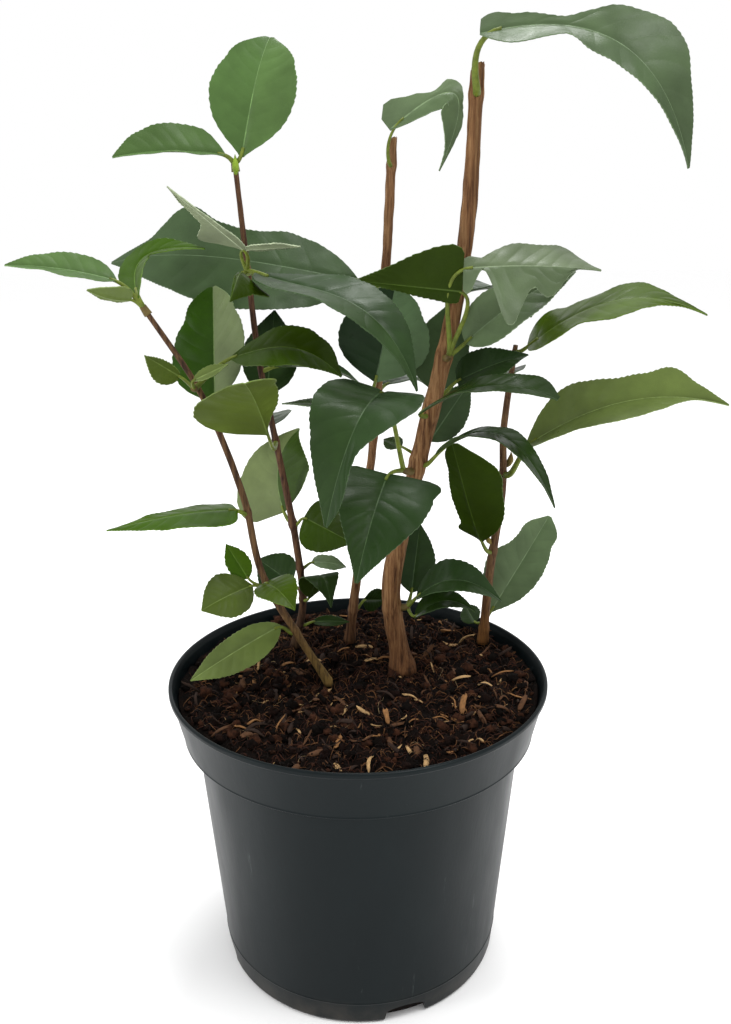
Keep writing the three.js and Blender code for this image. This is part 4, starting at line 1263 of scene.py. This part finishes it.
def add_chip(heap, rng, kind):
    """Split husk or bark chip: a curved flake with blunt, ragged ends."""
    x, y = soil_place(rng, CHIP_MARGIN)
    length = lerp(CHIP_LENGTH, rng.random() ** CHIP_SMALLNESS)
    width = min(length * (0.12 + 0.5 * rng.random() ** 1.8), CHIP_WIDEST)
    turn = rng.uniform(0, 360)
    rise = rng.uniform(*CHIP_RISE)
    ahead = heading(turn, rise)
    side = unit(np.cross(ahead, vec(rng.uniform(-0.6, 0.6), rng.uniform(-0.6, 0.6), 1)))
    up = np.cross(side, ahead)
    centre = vec(x, y, soil_height(x, y) + 0.5 + length * 0.35 * abs(ahead[2]))
    curl = rng.uniform(0.1, 0.7)
    arch = rng.uniform(-0.12, 0.18)
    ragged = [[rng.uniform(0, 0.16) for _ in range(CHIP_COLUMNS + 1)] for _ in range(2)]
    taper = [rng.uniform(0.45, 1) for _ in range(2)]
    spine = []
    for s in range(CHIP_STEPS + 1):
        t = s / CHIP_STEPS
        half = width / 2 * lerp(taper, t) * (1 - 0.5 * (2 * t - 1) ** 6) * rng.uniform(0.88, 1.1)
        for c in range(CHIP_COLUMNS + 1):
            v = 2 * c / CHIP_COLUMNS - 1
            along = t + ragged[0][c] * (1 - t) ** 3 - ragged[1][c] * t ** 3
            middle = centre + ahead * (along - 0.5) * length + up * length * arch * math.sin(math.pi * t)
            spine.append(middle + side * v * half - up * curl * half * v * v)
    layers = [point + up * height for height in (-CHIP_HALF, CHIP_HALF) for point in spine]
    lower, upper, rim = sheet_faces(CHIP_STEPS + 1, CHIP_COLUMNS + 1)
    heap.add(layers, lower + upper + rim, kind)


def make_clods(rng):
    heap = Heap()
    names = list(CRUMB_COLORS)
    for i in range(CLODS):
        add_clod(heap, rng, names[i % len(names)])
    return heap.build("peat_crumbs", {name: soil_material(name, *row) for name, row in CRUMB_COLORS.items()})


def make_fibres(rng):
    """Fibres all over the soil, a few pale roots, and tufts round the feet of the canes."""
    heap = Heap()
    names = list(FIBRE_COLORS)
    for i in range(FIBRES):
        add_strand(heap, rng, names[FIBRE_MIX[i % len(FIBRE_MIX)]], FIBRE_SIZES)
    for _ in range(PALE_ROOTS):
        add_strand(heap, rng, names[-1], PALE_ROOT_SIZES)
    for cane in CANES.values():
        for i in range(FOOT_FIBRES):
            turn = rng.uniform(0, FULL_TURN)
            away = cane.radius[0] + rng.uniform(*FOOT_FIBRE_AWAY)
            x, y, _ = cane.through[0]
            start = (x + away * math.cos(turn), y + away * math.sin(turn))
            add_strand(heap, rng, names[i % 3], FOOT_FIBRE_SIZES, start)
    return heap.build("peat_fibres", {name: plain_material(name, *row) for name, row in FIBRE_COLORS.items()})


def make_chips(rng):
    heap = Heap()
    names = list(CHIP_COLORS)
    for i in range(CHIPS):
        add_chip(heap, rng, names[CHIP_MIX[i % len(CHIP_MIX)]])
    return heap.build("husk_chips", {name: plain_material(name, *row, CHIP_GRAIN)
                                     for name, row in CHIP_COLORS.items()})


def make_cane(name, cane):
    """Cane with ridged bark, a swelling at each leaf scar and a rough slanted cut or a soft tip."""
    curve = Spline(cane.through)
    thick = cane.bark == "cane"
    scars = [share_at_height(curve, spray.at) for spray in SPRAYS.values()
             if spray.cane == name and spray.at != "tip"]
    seed = Vector((len(name) * 3.7, len(name) * 1.3, 0))
    ridge = BARK_RIDGE[cane.bark]
    inset = BARK_INSET[cane.bark]
    sides = BARK_SIDES[cane.bark]

    def shape(t, angle):
        height = curve.at(t)[2]
        way = Vector((math.cos(angle) * BARK_ROUND, math.sin(angle) * BARK_ROUND, height / BARK_LONG)) + seed
        relief = ridge * noise.noise(way) + ridge * BARK_FINE_SHARE * noise.noise(way * BARK_FINER)
        return relief + sum(SCAR_SWELL * math.exp(-(((t - scar) / SCAR_LENGTH) ** 2)) for scar in scars)

    steps = int((cane.through[-1][2] - GROUND) / BARK_STEP)
    points, faces = tube(curve, lambda t: cane_radius(cane, t, curve.at(t)[2]) - inset, sides, steps, shape)
    points = np.array(points)
    points[:sides, 2] = GROUND - BARK_INTO_SOIL
    kinds = [name] * len(faces)
    if thick:
        cut_slant(points, sides, seed)
        kinds[-1] = "cut"
    heap = Heap()
    heap.add(points, faces, kinds)
    materials = {name: bark_material("bark_" + name, *BARKS[name]),
                 "cut": plain_material("cut_" + name, CUT_COLOR, 0.85)}
    return heap.build(name + "_bark", materials, sharp=("cut",))


def cut_slant(points, sides, seed):
    """Lowers the last rings of a cane so that its cut slants and its rim is ragged."""
    for back in range(CUT_RINGS):
        share = 1 - back / CUT_RINGS
        first = len(points) - (back + 1) * sides
        for i in range(sides):
            angle = FULL_TURN * i / sides
            ragged = 0.5 + noise.noise(Vector((*on_circle(i / sides), 0)) * CUT_GRAIN + seed)
            slant = CUT_SLANT * (1 - math.cos(angle + CUT_TURN))
            points[first + i, 2] -= share * (slant + CUT_RAGGED * ragged)


def make_foliage():
    """One piece of blades for each cane and one for the leaves behind, and one of all stalks."""
    materials = leaf_materials()
    stalks = Heap()
    groups = {cane: {n: s for n, s in SPRAYS.items() if s.cane == cane} for cane in CANES}
    groups["behind"] = {name: behind_spray(row) for name, row in BEHIND.items()}
    pieces = []
    for group, sprays in groups.items():
        blades = Heap()
        for name, spray in sprays.items():
            grow_spray(name, spray, blades, stalks)
        piece = blades.build("blades_" + group, materials, sharp=[t + "_line" for t in TINTS])
        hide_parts(*["leaves_" + name for name in sprays])
        pieces.append(piece)
    for row in BUDS:
        add_bud(stalks, row)
    twigs = {name: plain_material(name, *row) for name, row in TWIG_COLORS.items()}
    pieces.append(stalks.build("leaf_stalks", twigs))
    return pieces


def make_floor():
    mesh = bpy.data.meshes.new("floor")
    corners = [(-FLOOR_HALF, -FLOOR_HALF), (FLOOR_HALF, -FLOOR_HALF), (FLOOR_HALF, FLOOR_HALF),
               (-FLOOR_HALF, FLOOR_HALF)]
    mesh.from_pydata([(x, y, 0) for x, y in corners], [], [(0, 1, 2, 3)])
    floor = put_in_scene("floor", mesh)
    material = bpy.data.materials.new("floor")
    material.use_nodes = True
    shader = material.node_tree.nodes["Principled BSDF"]
    shader.inputs["Base Color"].default_value = (FLOOR_WHITE, FLOOR_WHITE, FLOOR_WHITE, 1)
    shader.inputs["Roughness"].default_value = 0.9
    mesh.materials.append(material)
    floor.location.z = -FLOOR_DROP


def make_lamp(name, place, target, size, power):
    data = bpy.data.lights.new(name, "AREA")
    data.shape = "RECTANGLE"
    data.size, data.size_y = size
    data.energy = power
    lamp = put_in_scene(name, data)
    lamp.location = place
    lamp.rotation_euler = (Vector(target) - Vector(place)).to_track_quat("-Z", "Y").to_euler()


def make_studio():
    """Pale floor, white surround and soft lamps."""
    make_floor()
    world = bpy.data.worlds.new("studio")
    world.use_nodes = True
    world.node_tree.nodes["Background"].inputs["Color"].default_value = (1, 1, 1, 1)
    world.node_tree.nodes["Background"].inputs["Strength"].default_value = 1.0
    bpy.context.scene.world = world
    bpy.context.scene.view_settings.view_transform = "Standard"
    for name, row in LAMPS.items():
        make_lamp(name, *row)


def make_camera():
    """Camera at the photograph's height, tilt and field of view."""
    data = bpy.data.cameras.new("camera")
    data.sensor_fit = "AUTO"
    data.sensor_width = SENSOR
    data.lens = SENSOR * CAMERA_FOCAL / PICTURE_HEIGHT
    data.dof.use_dof = False
    camera = put_in_scene("camera", data)
    look = Matrix.Rotation(math.radians(90 - CAMERA_PITCH), 4, "X")
    roll = Matrix.Rotation(math.radians(CAMERA_ROLL), 4, "Z")
    camera.matrix_world = Matrix.Translation(CAMERA_PLACE) @ look @ roll
    bpy.context.scene.camera = camera


def main():
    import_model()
    make_camera()
    make_studio()

    pot = make_pot()
    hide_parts("pot")
    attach(pot, "root")

    peat = make_soil_body()
    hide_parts("soil")
    rng = random.Random(LITTER_SEED)
    for piece in [peat, make_clods(rng), make_fibres(rng), make_chips(rng)]:
        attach(piece, "root")

    for name, cane in CANES.items():
        piece = make_cane(name, cane)
        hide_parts(name)
        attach(piece, "root")

    for piece in make_foliage():
        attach(piece, "root")


main()
